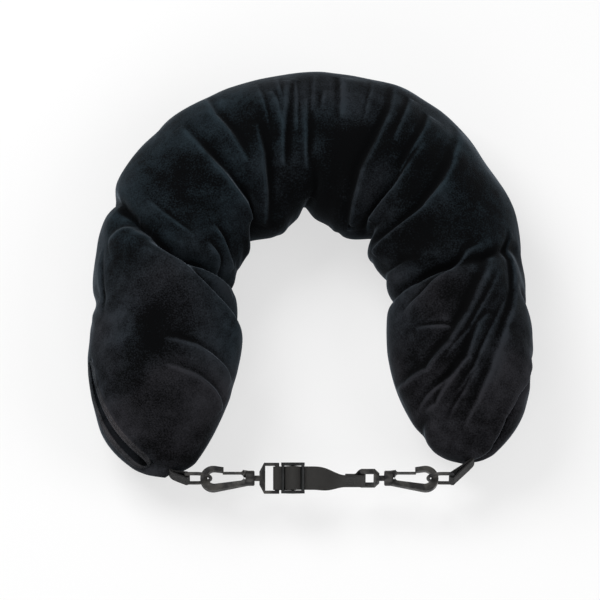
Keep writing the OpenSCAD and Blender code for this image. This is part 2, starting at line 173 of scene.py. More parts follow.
def apply_modifiers(obj: bpy.types.Object) -> None:
    """Replaces an object's mesh by what its modifiers make of it.

    Args:
        obj: object whose modifiers are applied and removed.
    """
    bpy.context.view_layer.update()
    evaluated = obj.evaluated_get(bpy.context.evaluated_depsgraph_get())
    mesh = bpy.data.meshes.new_from_object(evaluated)
    obj.modifiers.clear()
    old = obj.data
    obj.data = mesh
    bpy.data.meshes.remove(old)


def dress(obj: bpy.types.Object, finish: bpy.types.Material, body: Body, slot: str, *nodes: str) -> None:
    """Gives a piece its finish and puts it on its body, in the place of its frame nodes.

    Args:
        obj: the finished shape.
        finish: its material.
        body: body that it moves with.
        slot: material slot of the record; not used.
        nodes: frame nodes that it stands for.
    """
    obj.data.materials.append(finish)
    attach(obj, body.value)
    if nodes:
        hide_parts(*nodes)
    LOG.info("%s rides on %s", obj.name, body.value)


class NodeTree:
    """Small builder for a shader's nodes."""

    def __init__(self, name: str) -> None:
        """Makes an empty material.

        Args:
            name: name of the material.
        """
        self.material = bpy.data.materials.new(name)
        self.material.use_nodes = True
        self.tree = self.material.node_tree
        self.shader = self.tree.nodes["Principled BSDF"]

    def node(self, kind: str, **values: object) -> bpy.types.Node:
        """Adds a node.

        Args:
            kind: Blender's name of the node's type.
            values: properties, or input values where the name is an input with spaces as underscores.

        Returns:
            The new node.
        """
        made = self.tree.nodes.new(kind)
        for key, value in values.items():
            label = key.replace("_", " ")
            if label in made.inputs:
                made.inputs[label].default_value = value
            else:
                setattr(made, key, value)
        return made

    def link(self, source: bpy.types.NodeSocket, target: bpy.types.NodeSocket) -> None:
        """Joins two sockets."""
        self.tree.links.new(source, target)

    def set(self, **values: object) -> None:
        """Sets inputs of the shader, by their names with underscores for spaces."""
        for key, value in values.items():
            self.shader.inputs[key.replace("_", " ")].default_value = value

    def colour(self, source: bpy.types.NodeSocket) -> None:
        """Joins a colour to the shader."""
        self.link(source, self.shader.inputs["Base Color"])

    def coords(self) -> bpy.types.NodeSocket:
        """Coordinates in the piece's own frame, in metres."""
        return self.node("ShaderNodeTexCoord").outputs["Object"]

    def split(self, vector: bpy.types.NodeSocket) -> tuple:
        """Parts a vector.

        Args:
            vector: vector socket.

        Returns:
            Its values along X, Y and Z.
        """
        made = self.node("ShaderNodeSeparateXYZ")
        self.link(vector, made.inputs[0])
        return tuple(made.outputs)

    def noise(self, vector: bpy.types.NodeSocket, scale: float, detail: float = 2.0) -> bpy.types.NodeSocket:
        """Adds a noise texture.

        Args:
            vector: coordinates.
            scale: waves in a metre.
            detail: octaves of finer noise.

        Returns:
            The noise's factor.
        """
        made = self.node("ShaderNodeTexNoise", Scale=scale, Detail=detail)
        self.link(vector, made.inputs["Vector"])
        return made.outputs["Fac"]

    def ramp(self, factor: bpy.types.NodeSocket, *stops: tuple) -> bpy.types.NodeSocket:
        """Maps a factor to colours.

        Args:
            factor: value from 0 to 1.
            stops: two pairs of place and colour.

        Returns:
            The mapped colour.
        """
        made = self.node("ShaderNodeValToRGB")
        for element, (place_at, colour) in zip(made.color_ramp.elements, stops):
            element.position = place_at
            element.color = (*colour, 1.0)
        self.link(factor, made.inputs["Fac"])
        return made.outputs["Color"]

    def math(self, operation: str, *values: object) -> bpy.types.NodeSocket:
        """Adds a math node.

        Args:
            operation: Blender's name of the operation.
            values: sockets or numbers that it works on.

        Returns:
            The result.
        """
        made = self.node("ShaderNodeMath", operation=operation)
        for socket, value in zip(made.inputs, values):
            if isinstance(value, bpy.types.NodeSocket):
                self.link(value, socket)
            else:
                socket.default_value = value
        return made.outputs[0]

    def total(self, start: object, *parts: tuple) -> bpy.types.NodeSocket:
        """Adds up weighted values.

        Args:
            start: socket or number that they are added to.
            parts: pairs of socket and weight.

        Returns:
            The sum.
        """
        for socket, weight in parts:
            start = self.math("MULTIPLY_ADD", socket, weight, start)
        return start

    def times(self, first: bpy.types.NodeSocket, second: bpy.types.NodeSocket) -> bpy.types.NodeSocket:
        """Multiplies two colours.

        Args:
            first: one colour.
            second: the other.

        Returns:
            Their product.
        """
        made = self.node("ShaderNodeMix", data_type="RGBA", blend_type="MULTIPLY")
        made.inputs["Factor"].default_value = 1.0
        colours = [socket for socket in made.inputs if socket.type == "RGBA"]
        for socket, value in zip(colours, (first, second)):
            self.link(value, socket)
        return next(socket for socket in made.outputs if socket.type == "RGBA")

    def bump(self, height: bpy.types.NodeSocket, distance: float) -> None:
        """Roughens the surface by a height.

        Args:
            height: height socket, from 0 to 1.
            distance: real height of a full step.
        """
        made = self.node("ShaderNodeBump", Strength=1.0, Distance=distance)
        self.link(height, made.inputs["Height"])
        self.link(made.outputs["Normal"], self.shader.inputs["Normal"])


@dataclass(frozen=True)
class VelvetFinish:
    """Short black pile: dark across the nap, lighter where it is brushed, with sheen, highlights and shade
    painted in through a mesh attribute.

    Attributes:
        name: name of the material.
        deep: colour across the nap, and of painted shade.
        brushed: colour where the pile is brushed open, and of painted sheen and highlights.
        span: brushing at which the colour starts to change from deep, and at which it is brushed.
        cool: factor of the colour towards the back.
        warm: factor of the colour towards the tips.
        tinge_span: where the factor starts to change from cool, and where it is warm.
        tinge_scale: waves of that change in a metre.
        tint: colour of the sheen.
        sheen: strength of the sheen.
        patch_scale: patches in a metre.
        streak_scale: streaks in a metre.
        pile_scale: tufts in a metre.
        ragged: how far streaks break up a brushed place, and how much of it is left without them.
        cloud: start level, and shares of patches, streaks, and brushed places with painted sheen and shade.
        speckle: start level, and shares of the cloud and the tufts.
        relief: shares of tufts and streaks in the surface's height.
        relief_height: height of the pile.
        nap_and_light_attribute: name of the mesh attribute that says where the pile is brushed and where
            sheen, highlights and shade are painted.
    """

    name: str = "black_velvet"
    deep: tuple = (0.0004, 0.0005, 0.0007)
    brushed: tuple = (0.0200, 0.0241, 0.0292)
    span: tuple = (0.40, 0.82)
    cool: tuple = (0.80, 1.03, 1.08)
    warm: tuple = (1.16, 0.96, 0.93)
    tinge_span: tuple = (0.35, 0.68)
    tinge_scale: float = 8.0
    tint: tuple = (0.485, 0.585, 0.69, 1.0)
    sheen: float = 0.30
    patch_scale: float = 16.0
    streak_scale: float = 95.0
    pile_scale: float = 800.0
    ragged: tuple = (1.4, 0.3)
    cloud: tuple = (-0.35, 1.3, 0.4, 0.15)
    speckle: tuple = (-0.075, 0.65, 0.5)
    relief: tuple = (0.6, 0.4)
    relief_height: float = 0.35 * MM
    nap_and_light_attribute: str = "nap"

    def build(self) -> bpy.types.Material:
        """Makes the material.

        Returns:
            The material.
        """
        t = NodeTree(self.name)
        coords = t.coords()
        # This attribute paints sheen, highlights and shade along with the brushed places
        spots = t.node("ShaderNodeAttribute", attribute_name=self.nap_and_light_attribute).outputs["Fac"]
        patches = t.noise(coords, self.patch_scale, 4.0)
        streaks = t.noise(coords, self.streak_scale)
        pile = t.noise(coords, self.pile_scale, 1.0)
        broken, whole = self.ragged
        uneven = t.math("MULTIPLY", spots, t.total(whole, (streaks, broken)))
        start, *shares = self.cloud
        cloud = t.total(start, *zip((patches, streaks, uneven), shares))
        start, *shares = self.speckle
        speckled = t.total(start, *zip((cloud, pile), shares))
        low, high = self.span
        tone = t.ramp(speckled, (low, self.deep), (high, self.brushed))
        nearer_tips = t.math("SUBTRACT", t.noise(coords, self.tinge_scale), t.split(coords)[1])
        low, high = self.tinge_span
        t.colour(t.times(tone, t.ramp(nearer_tips, (low, self.cool), (high, self.warm))))
        t.set(Roughness=0.95, Specular_IOR_Level=0.06, Sheen_Weight=self.sheen, Sheen_Roughness=0.27,
              Sheen_Tint=self.tint)
        t.bump(t.total(0.0, *zip((pile, streaks), self.relief)), self.relief_height)
        return t.material

    @classmethod
    def brush(cls, piece: bpy.types.Object, nap: np.ndarray) -> None:
        """Writes how far a piece's pile is brushed at each of its points, together with painted sheen,
        highlights and shade.

        Args:
            piece: piece of velvet.
            nap: value at each point, above 0 for brushed pile and painted light, below 0 for dark pile and
                painted shade.
        """
        layer = piece.data.attributes.new(cls.nap_and_light_attribute, "FLOAT", "POINT")
        layer.data.foreach_set("value", nap.reshape(-1))


@dataclass(frozen=True)
class WebbingFinish:
    """Woven strap: ribs across the width and warp threads along it.

    Attributes:
        name: name of the material.
        dark: colour between the ribs.
        light: colour on top of them.
        span: heights of those two colours.
        rib: spacing of the ribs.
        thread: spacing of the threads.
        height: height of the weave.
        skew: how far the threads push the ribs aside.
        fuzz_scale: loose fibres in a metre.
        shares: start level, and shares of the weave and the fibres.
    """

    name: str = "woven_webbing"
    dark: tuple = (0.0045, 0.0044, 0.0042)
    light: tuple = (0.042, 0.0405, 0.038)
    span: tuple = (0.15, 0.9)
    rib: float = 1.1 * MM
    thread: float = 0.9 * MM
    height: float = 0.25 * MM
    skew: float = 0.9
    fuzz_scale: float = 900.0
    shares: tuple = (0.35, 0.35, 0.3)

    def build(self) -> bpy.types.Material:
        """Makes the material, on UV coordinates in metres.

        Returns:
            The material.
        """
        t = NodeTree(self.name)
        uv = t.node("ShaderNodeUVMap", uv_map="weave").outputs["UV"]
        x, y, _ = t.split(uv)
        along = t.math("MULTIPLY", x, math.tau / self.rib)
        across = t.math("MULTIPLY", y, math.tau / self.thread)
        ribs = t.math("SINE", t.total(along, (t.math("SINE", across), self.skew)))
        threads = t.math("COSINE", t.math("MULTIPLY", across, 0.5))
        start, *shares = self.shares
        weave, fuzz = t.math("MULTIPLY", ribs, threads), t.noise(uv, self.fuzz_scale)
        tone = t.total(start, *zip((weave, fuzz), shares))
        low, high = self.span
        t.colour(t.ramp(tone, (low, self.dark), (high, self.light)))
        t.set(Roughness=0.72, Specular_IOR_Level=0.2, Sheen_Weight=0.05, Sheen_Roughness=0.4)
        t.bump(tone, self.height)
        return t.material


@dataclass(frozen=True)
class MouldedFinish:
    """Moulded black plastic with a faint spark-eroded grain and paler patches, partly rubbed wear and partly
    painted highlight.

    Attributes:
        name: name of the material.
        base: colour of the plastic.
        pale_patch: colour of the paler patches, partly rubbed wear and partly painted highlight.
        span: cloud values of those two colours.
        roughness: roughness where it is rubbed, and elsewhere.
        rubbed_span: cloud values between which the roughness changes.
        cloud_scale: rubbed patches in a metre.
        grain_scale: grains in a metre.
        grain_height: height of the grain.
    """

    name: str
    base: tuple = (0.0045, 0.0046, 0.005)
    pale_patch: tuple = (0.056, 0.053, 0.048)
    span: tuple = (0.40, 0.72)
    roughness: tuple = (0.24, 0.46)
    rubbed_span: tuple = (0.3, 0.7)
    cloud_scale: float = 160.0
    grain_scale: float = 2600.0
    grain_height: float = 0.03 * MM

    def build(self) -> bpy.types.Material:
        """Makes the material.

        Returns:
            The material.
        """
        t = NodeTree(self.name)
        coords = t.coords()
        cloud = t.noise(coords, self.cloud_scale, 3.0)
        # paler patches: partly rubbed wear, partly painted highlight
        t.colour(t.ramp(cloud, *zip(self.span, (self.base, self.pale_patch))))
        rubbed, plain = self.roughness
        rough = t.ramp(cloud, *zip(self.rubbed_span, ((plain,) * 3, (rubbed,) * 3)))
        t.link(rough, t.shader.inputs["Roughness"])
        t.set(Specular_IOR_Level=0.2)
        t.bump(t.noise(coords, self.grain_scale, 1.0), self.grain_height)
        return t.material


@dataclass(frozen=True)
class LacquerFinish:
    """Black lacquer on die-cast metal, rubbed a little through.

    Attributes:
        name: name of the material.
        base: colour of the lacquer.
        pale_patch: colour where it is rubbed through.
        span: cloud values of those two colours.
        roughness: roughness of the lacquer, and where it is rubbed through.
        rough_span: cloud values between which the roughness changes.
        cloud_scale: rubbed places in a metre.
        height: height of the unevenness.
    """

    name: str = "black_lacquer"
    base: tuple = (0.016, 0.0165, 0.0175)
    pale_patch: tuple = (0.07, 0.07, 0.072)
    span: tuple = (0.5, 0.8)
    roughness: tuple = (0.32, 0.5)
    rough_span: tuple = (0.3, 0.8)
    cloud_scale: float = 420.0
    height: float = 0.02 * MM

    def build(self) -> bpy.types.Material:
        """Makes the material.

        Returns:
            The material.
        """
        t = NodeTree(self.name)
        cloud = t.noise(t.coords(), self.cloud_scale, 4.0)
        t.colour(t.ramp(cloud, *zip(self.span, (self.base, self.pale_patch))))
        t.set(Metallic=0.35)
        rough = t.ramp(cloud, *((at, (value,) * 3) for at, value in zip(self.rough_span, self.roughness)))
        t.link(rough, t.shader.inputs["Roughness"])
        t.bump(cloud, self.height)
        return t.material


@dataclass(frozen=True)
class ThreadFinish:
    """Twisted sewing thread.

    Attributes:
        name: name of the material.
        dark: colour between the plies.
        light: colour on top of them.
        span: twist values of those two colours.
        twist_scale: twists in a metre.
        height: height of the plies.
    """

    name: str = "sewing_thread"
    dark: tuple = (0.008, 0.0083, 0.009)
    light: tuple = (0.045, 0.046, 0.048)
    span: tuple = (0.35, 0.7)
    twist_scale: float = 2200.0
    height: float = 0.08 * MM

    def build(self) -> bpy.types.Material:
        """Makes the material.

        Returns:
            The material.
        """
        t = NodeTree(self.name)
        twist = t.noise(t.coords(), self.twist_scale, 1.0)
        t.colour(t.ramp(twist, *zip(self.span, (self.dark, self.light))))
        t.set(Roughness=0.55)
        t.bump(twist, self.height)
        return t.material


class Finishes:
    """Every finish of the object, made once."""

    def __init__(self) -> None:
        """Builds the materials."""
        self.velvet = VelvetFinish().build()
        # The hems get a paler velvet: a highlight painted along the lips of the zip gap
        self.hem = VelvetFinish("hem_velvet_painted_highlight", deep=(0.008, 0.009, 0.010),
                                brushed=(0.050, 0.056, 0.062)).build()
        self.webbing = WebbingFinish().build()
        self.tab = WebbingFinish("tab_weave", dark=(0.0015, 0.0015, 0.0016),
                                 light=(0.013, 0.0128, 0.0125)).build()
        self.tape = WebbingFinish("zip_tape_weave", rib=0.7 * MM, thread=0.6 * MM, height=0.12 * MM).build()
        self.hook = MouldedFinish("hook_plastic").build()
        self.adjuster = MouldedFinish("adjuster_plastic", pale_patch=(0.020, 0.022, 0.022)).build()
        self.ring = MouldedFinish("ring_plastic", base=(0.012, 0.012, 0.013), roughness=(0.3, 0.45)).build()
        self.lacquer = LacquerFinish().build()
        self.thread = ThreadFinish().build()


@dataclass(frozen=True)
class Fold:
    """One fold of the gathered velvet, as a line on the tube.

    Attributes:
        line: stations in millimetres and section angles that the fold passes through.
        height: height of its crest, or depth of a groove, in millimetres.
        width: reach of its gentle side in millimetres.
        press: ridge or groove.
    """

    line: tuple
    height: float = 3.0
    width: float = 9.0
    press: Press = Press.RIDGE


@dataclass(frozen=True)
class FoldShape:
    """Cross section of a ridge, and how a fold ends. Shares are of its width, lengths are in millimetres.

    Attributes:
        steps: points along each leg of its line.
        reach: share within which it changes the cover.
        gentle_power: power of its fall towards the tip.
        steep: share in which it falls on the other side.
        hollow: depth, place and width of the hollow at its steep foot, as shares.
        end_power: power of its fade towards its ends.
        end_length: length of its fade past its ends.
        flat: depths below it between which it fades out.
        crest_width: half width of the highlight painted along its crest.
        full_crest: height from which that painted highlight shows fully.
    """

    steps: int = 14
    reach: float = 3.2
    gentle_power: float = 1.15
    steep: float = 0.22
    hollow: tuple = (0.55, 0.55, 0.4)
    end_power: float = 0.6
    end_length: float = 5.0
    flat: tuple = (14.0, 24.0)
    crest_width: float = 1.5
    full_crest: float = 2.5

    def ridge(self, side: np.ndarray, width: float) -> np.ndarray:
        """Height of a ridge across its line, for a height of 1.

        Args:
            side: distances from the line, above 0 towards the tip.
            width: reach of its gentle side.

        Returns:
            The height at each distance.
        """
        gentle = np.exp(-(np.maximum(side, 0) / width) ** self.gentle_power)
        steep = np.exp(-(np.minimum(side, 0) / (self.steep * width)) ** 2)
        depth, place, spread = self.hollow
        hollow = depth * np.exp(-((side + place * width) / (spread * width)) ** 2)
        return np.where(side > 0, gentle, steep) - hollow

    def crest(self, side: np.ndarray, height: float) -> np.ndarray:
        """How much each distance from the line lies under the highlight painted on the crest of a ridge of
        this height.
        """
        return np.exp(-(side / self.crest_width) ** 2) * min(1.0, height / self.full_crest)


@dataclass(frozen=True)
class Spot:
    """One round place on the tube where something swells or fades.

    Attributes:
        station: its middle along the tube in millimetres.
        angle: its middle round the tube.
        amount: value at its middle, below 0 for a dent or a dark place.
        along: its reach along the tube in millimetres.
        spread: its reach round the tube in degrees.
    """

    station: float
    angle: float
    amount: float
    along: float
    spread: float = 45.0

    def value(self, station: np.ndarray, angle: np.ndarray) -> np.ndarray:
        """Amount at each place.

        Args:
            station: places along the tube.
            angle: section angles.

        Returns:
            The spot's amount there.
        """
        turn = ((angle - self.angle + 180.0) % 360.0 - 180.0) / self.spread
        return self.amount * np.exp(-((station / MM - self.station) / self.along) ** 2 - turn ** 2)


@dataclass
class PillowForm:
    """Plain form of the stuffed tube, before its folds."""

    bend_radius: float = 0.127
    left_arm: float = 0.163
    right_arm: float = 0.153
    half_width: float = 0.062
    half_height: float = 0.0595
    height: float = 0.114
    nose_length: float = 0.105
    tip_half_width: float = 0.015
    tip_half_height: float = 0.011
    tip_height: float = 0.040
    left_tip_in: float = 0.007
    right_tip_out: float = 0.002
    cap_length: float = 0.009
    cap_width: float = 0.15
    cap_height: float = 0.75
    fullness: float = 0.8
    bend_y: float = -0.00395

    @property
    def bend_length(self) -> float:
        """Length of the centre line from the middle of the back to where an arm starts."""
        return math.pi * self.bend_radius / 2

    @property
    def ends(self) -> tuple:
        """Stations of the left and right tips."""
        return -self.bend_length - self.left_arm, self.bend_length + self.right_arm

    def to_tip(self, station: np.ndarray) -> np.ndarray:
        """Distance along the tube from each station to the nearer tip."""
        left, right = self.ends
        return np.where(station < 0, station - left, right - station)

    def swell(self, to_tip: np.ndarray) -> np.ndarray:
        """Rise from 0 at a tip to 1 where the arm is full."""
        return np.sin(np.pi / 2 * np.clip(to_tip / self.nose_length, 0, 1) ** self.fullness)

    def section(self, station: np.ndarray, angle: np.ndarray) -> tuple:
        """Point of the tube's section in its own plane.

        Args:
            station: places along the tube.
            angle: section angles.

        Returns:
            Distance outward from the centre line, and height.
        """
        to_tip = self.to_tip(station)
        full = self.swell(to_tip)
        cap = np.sqrt(np.clip(1 - (1 - np.clip(to_tip / self.cap_length, 0, 1)) ** 2, 0, 1))
        wide = self.tip_half_width + (self.half_width - self.tip_half_width) * full
        wide *= self.cap_width + (1 - self.cap_width) * cap
        tall = self.tip_half_height + (self.half_height - self.tip_half_height) * full
        tall *= self.cap_height + (1 - self.cap_height) * cap
        centre = self.tip_height + (self.height - self.half_height - self.tip_height) * full
        shift = np.where(station < 0, -self.left_tip_in, self.right_tip_out) * (1 - full)
        a = np.radians(angle)
        return shift + wide * np.cos(a), centre + tall * np.sin(a)

    def bend(self, station: np.ndarray, outward: np.ndarray, height: np.ndarray,
             slack: float) -> np.ndarray:
        """Carries section points round the U.

        Args:
            station: places along the tube.
            outward: distances outward from the centre line.
            height: heights.
            slack: spare length of the cloth; above 0 the U is longer and opens wider.

        Returns:
            Points of the tube.
        """
        radius = self.bend_radius * (1 + 2 * slack)
        reach = np.abs(station)
        round_back = np.minimum(reach, self.bend_length) * (1 + slack)
        run = np.maximum(reach - self.bend_length, 0) * (1 + 0.6 * slack)
        turn = math.pi / 2 - round_back / radius
        x = (radius + outward) * np.cos(turn) + run * np.sin(turn)
        y = (radius + outward) * np.sin(turn) - run * np.cos(turn)
        straight = run > 0
        x = np.where(straight & (slack == 0), self.bend_radius + outward, x)
        y = np.where(straight & (slack == 0), -run, y)
        return np.stack([np.sign(station + TINY) * x, self.bend_y + y, height], axis=-1)

    def points(self, station: np.ndarray, angle: np.ndarray, slack: float = 0.0) -> np.ndarray:
        """Points of the plain tube at stations and section angles."""
        outward, height = self.section(station, angle)
        return self.bend(station, outward, height, slack)


@dataclass
class GatheredCloth:
    """Cloth simulation of a velvet tube that is longer than its stuffing and is bent into the U.

    The tube starts long and wide open. Its seat and its tips are drawn into the finished U, the rest
    follows over the pressure of the stuffing, and the spare cloth gathers into folds.

    Attributes:
        slack: spare length, as a share.
        twist: turn of the arms before they are drawn in.
        twist_span: where that turn starts and is full, as shares of the bend's length.
        pressure: pressure of the stuffing.
        stiffness: stiffness against stretching and squeezing.
        shear: share of it against shearing.
        bending: stiffness against bending.
        damping: damping of the cloth's movement.
        drawn_by: frame at which the tube is drawn in.
        frames: last frame.
        cap: longest move of a point that is kept.
        scale: how much larger the tube is while it settles.
        ruffle: height of the first unevenness.
        lead: how far the cloth is led towards the pressed folds.
        smoothing: how often the unevenness and the lead are smoothed.
        seed: seed of the unevenness.
        pin_from: section angle where the held seat starts.
        pin_to: section angle where it ends.
        pin_rows: rings held at each tip.
        form_blur: how often the broad sag is smoothed.
        calm_from: distance from a tip within which there are no gathers.
        calm_to: distance from which they are full.
        inner_calm: share of the gathers that is taken out inside the bend.
        inner_middle: section angle of that place.
        inner_spread: its reach round the tube.
        ease: how often the gathers are smoothed.
    """

    slack: float = 0.22
    twist: float = 18.0
    twist_span: tuple = (0.55, 1.5)
    pressure: float = 3.5
    stiffness: float = 40.0
    shear: float = 0.4
    bending: float = 1.0
    damping: float = 10.0
    drawn_by: int = 25
    frames: int = 40
    cap: float = 0.014
    scale: float = 8.0
    ruffle: float = 0.4 * MM
    lead: float = 2.0
    smoothing: int = 3
    seed: int = 7
    pin_from: float = 235.0
    pin_to: float = 305.0
    pin_rows: int = 3
    form_blur: int = 90
    calm_from: float = 0.035
    calm_to: float = 0.105
    inner_calm: float = 0.5
    inner_middle: float = 185.0
    inner_spread: float = 38.0
    ease: int = 2

    def settle(self, form: PillowForm, station: np.ndarray, angle: np.ndarray,
               lift: np.ndarray) -> np.ndarray:
        """Gathers the plain form.

        Args:
            form: plain form of the tube.
            station: station of each grid point.
            angle: section angle of each grid point.
            lift: height of the folds that the cloth is led towards.

        Returns:
            Grid of the form with its gathers, which are smoothed out near the sewn tips.
        """
        bent = form.points(station, angle)
        settled = self.draw_in(form, station, angle, lift)
        calm = smooth(self.calm_from, self.calm_to, form.to_tip(station))
        calm *= 1 - self.inner_calm * np.exp(-((angle - self.inner_middle) / self.inner_spread) ** 2)
        return bent + calm[..., None] * self.blurred(self.folds_only(settled - bent), self.ease)

    def draw_in(self, form: PillowForm, station: np.ndarray, angle: np.ndarray,
                lift: np.ndarray) -> np.ndarray:
        """Runs the simulation.

        Args:
            form: plain form of the tube.
            station: station of each grid point.
            angle: section angle of each grid point.
            lift: height of the folds that the cloth is led towards.

        Returns:
            Grid of the settled points.
        """
        rows, cols = station.shape
        bent = form.points(station, angle)
        low, high = self.twist_span
        arm = smooth(form.bend_length * low, form.bend_length * high, np.abs(station))
        relaxed = form.points(station, angle + self.twist * arm * np.sign(station), self.slack)
        led = self.blurred(lift[..., None], self.smoothing)[..., 0]
        relaxed += grid_normals(relaxed) * (self.lead * led + self.ruffles(rows, cols))[..., None]
        tube = add_mesh("settling_tube", relaxed.reshape(-1, 3) * self.scale, tube_faces(rows, cols))
        tube.shape_key_add(name="relaxed")
        drawn = tube.shape_key_add(name="drawn_in")
        drawn.data.foreach_set("co", (bent * self.scale).reshape(-1).astype(np.float32))
        for value, frame_number in ((0.0, 1), (1.0, self.drawn_by)):
            drawn.value = value
            drawn.keyframe_insert("value", frame=frame_number)
        held = (angle > self.pin_from) & (angle < self.pin_to)
        held[:self.pin_rows] = True
        held[-self.pin_rows:] = True
        pins = tube.vertex_groups.new(name="pins")
        pins.add([int(i) for i in np.nonzero(held.reshape(-1))[0]], 1.0, "REPLACE")
        self.simulate(tube)
        settled = tube.evaluated_get(bpy.context.evaluated_depsgraph_get())
        co = np.zeros(rows * cols * 3, np.float32)
        settled.data.vertices.foreach_get("co", co)
        bpy.data.actions.remove(tube.data.shape_keys.animation_data.action)
        bpy.data.meshes.remove(tube.data)
        bpy.context.scene.frame_set(1)
        return co.reshape(rows, cols, 3).astype(float) / self.scale

    def ruffles(self, rows: int, cols: int) -> np.ndarray:
        """Small unevenness of the cloth, from which it starts to buckle.

        Args:
            rows: rings along the tube.
            cols: points round a ring.

        Returns:
            Height at each point.
        """
        noise = np.random.default_rng(self.seed).normal(size=(rows, cols, 1))
        noise = self.blurred(noise, self.smoothing)[..., 0]
        return self.ruffle * noise / noise.std()

    @staticmethod
    def blurred(grid: np.ndarray, times: int) -> np.ndarray:
        """Smooths a tube's grid of values along it and round it.

        Args:
            grid: values, first along the tube and then round it.
            times: how often they are smoothed.

        Returns:
            The smoothed values.
        """
        for _ in range(times):
            grid = (np.roll(grid, 1, 1) + 2 * grid + np.roll(grid, -1, 1)) / 4
            longer = np.concatenate([grid[:1], grid, grid[-1:]])
            grid = (longer[:-2] + 2 * longer[1:-1] + longer[2:]) / 4
        return grid

    def folds_only(self, move: np.ndarray) -> np.ndarray:
        """Takes the broad sag out of a settled tube and keeps its folds.

        Args:
            move: how far each point settled from the plain form.

        Returns:
            The part of it that belongs to the folds.
        """
        fold = move - self.blurred(move, self.form_blur)
        far = np.linalg.norm(fold, axis=-1, keepdims=True)
        return fold * np.minimum(1.0, self.cap / np.maximum(far, TINY))

    def simulate(self, tube: bpy.types.Object) -> None:
        """Adds the cloth and steps it.

        Args:
            tube: tube to settle, with a vertex group of pinned points.
        """
        cloth = tube.modifiers.new("cloth", "CLOTH")
        settings = cloth.settings
        settings.quality = 6
        settings.mass = 0.25
        settings.tension_stiffness = settings.compression_stiffness = self.stiffness
        settings.shear_stiffness = self.shear * self.stiffness
        settings.bending_stiffness = self.bending
        settings.tension_damping = settings.compression_damping = settings.shear_damping = self.damping
        settings.bending_damping = 1
        settings.air_damping = 2
        settings.vertex_group_mass = "pins"
        settings.pin_stiffness = 5
        settings.use_pressure = True
        settings.uniform_pressure_force = self.pressure
        settings.effector_weights.gravity = 0
        cloth.collision_settings.use_collision = False
        cloth.point_cache.frame_start = 1
        cloth.point_cache.frame_end = self.frames
        for number in range(1, self.frames + 1):
            bpy.context.scene.frame_set(number)


def tube_faces(rows: int, cols: int) -> list:
    """Faces of a tube of points with a closed cap at each end.

    Args:
        rows: rings along the tube.
        cols: points round a ring.

    Returns:
        Vertex numbers of each face.
    """
    faces = []
    for i in range(rows - 1):
        for j in range(cols):
            k = (j + 1) % cols
            faces.append((i * cols + j, i * cols + k, (i + 1) * cols + k, (i + 1) * cols + j))
    faces.append(tuple(reversed(range(cols))))
    faces.append(tuple((rows - 1) * cols + j for j in range(cols)))
    return faces


def refine(grid: np.ndarray, factor: int) -> np.ndarray:
    """Makes a tube's grid finer by smooth curves through its points.

    Args:
        grid: points, first along the tube and then round it.
        factor: new points for each old one.

    Returns:
        The finer grid.
    """
    shares = [step / factor for step in range(factor)]
    padded = np.concatenate([grid[:1], grid, grid[-1:]])
    rows = [spline(padded[:-3], padded[1:-2], padded[2:-1], padded[3:], t) for t in shares]
    along = np.stack(rows, axis=1).reshape(-1, *grid.shape[1:])
    along = np.concatenate([along, grid[-1:]])
    ring = [np.roll(along, shift, axis=1) for shift in (1, 0, -1, -2)]
    cols = [spline(*ring, t) for t in shares]
    return np.stack(cols, axis=2).reshape(along.shape[0], -1, 3)


def grid_normals(grid: np.ndarray) -> np.ndarray:
    """Normals of a tube's surface.

    Args:
        grid: points, first along the tube and then round it.

    Returns:
        Outward unit vector at each point.
    """
    along = np.gradient(grid, axis=0)
    round_it = np.roll(grid, -1, axis=1) - np.roll(grid, 1, axis=1)
    return unit(np.cross(along, round_it)) * -1.0


@dataclass
class ZipLine:
    """The zip's own frame at the end of the left arm: X along it, Y down across it, Z out of its face."""

    origin: Vector = field(default_factory=lambda: Vector((-0.131, -0.16695, 0.046)))
    lean: float = 34.0
    tilt: float = 35.0
    climb: float = 10.0
    start: float = 0.013
    length: float = 0.074
    tape_width: float = 0.006
    tooth_length: float = 0.003
    tape_top: float = -0.0004
    tape_thickness: float = 0.0012

    @property
    def matrix(self) -> Matrix:
        """Where the zip lies.

        Returns:
            Transform from the zip's frame to the part's frame.
        """
        up = math.atan(math.tan(math.radians(self.tilt)) * math.cos(math.radians(self.lean)))
        turn = Matrix.Rotation(math.radians(90 + self.lean), 4, "Z")
        turn = turn @ Matrix.Rotation(up - math.pi / 2, 4, "X")
        turn = turn @ Matrix.Rotation(math.radians(-self.climb), 4, "Z")
        return Matrix.Translation(self.origin) @ turn @ Matrix.Translation((self.start, 0, 0))

    def local(self, points: np.ndarray) -> np.ndarray:
        """Points of the part's frame, in the zip's frame."""
        inverse = np.array(self.matrix.inverted())
        return points @ inverse[:3, :3].T + inverse[:3, 3]

    def world(self, points: np.ndarray) -> np.ndarray:
        """Points of the zip's frame, in the part's frame."""
        matrix = np.array(self.matrix)
        return points @ matrix[:3, :3].T + matrix[:3, 3]


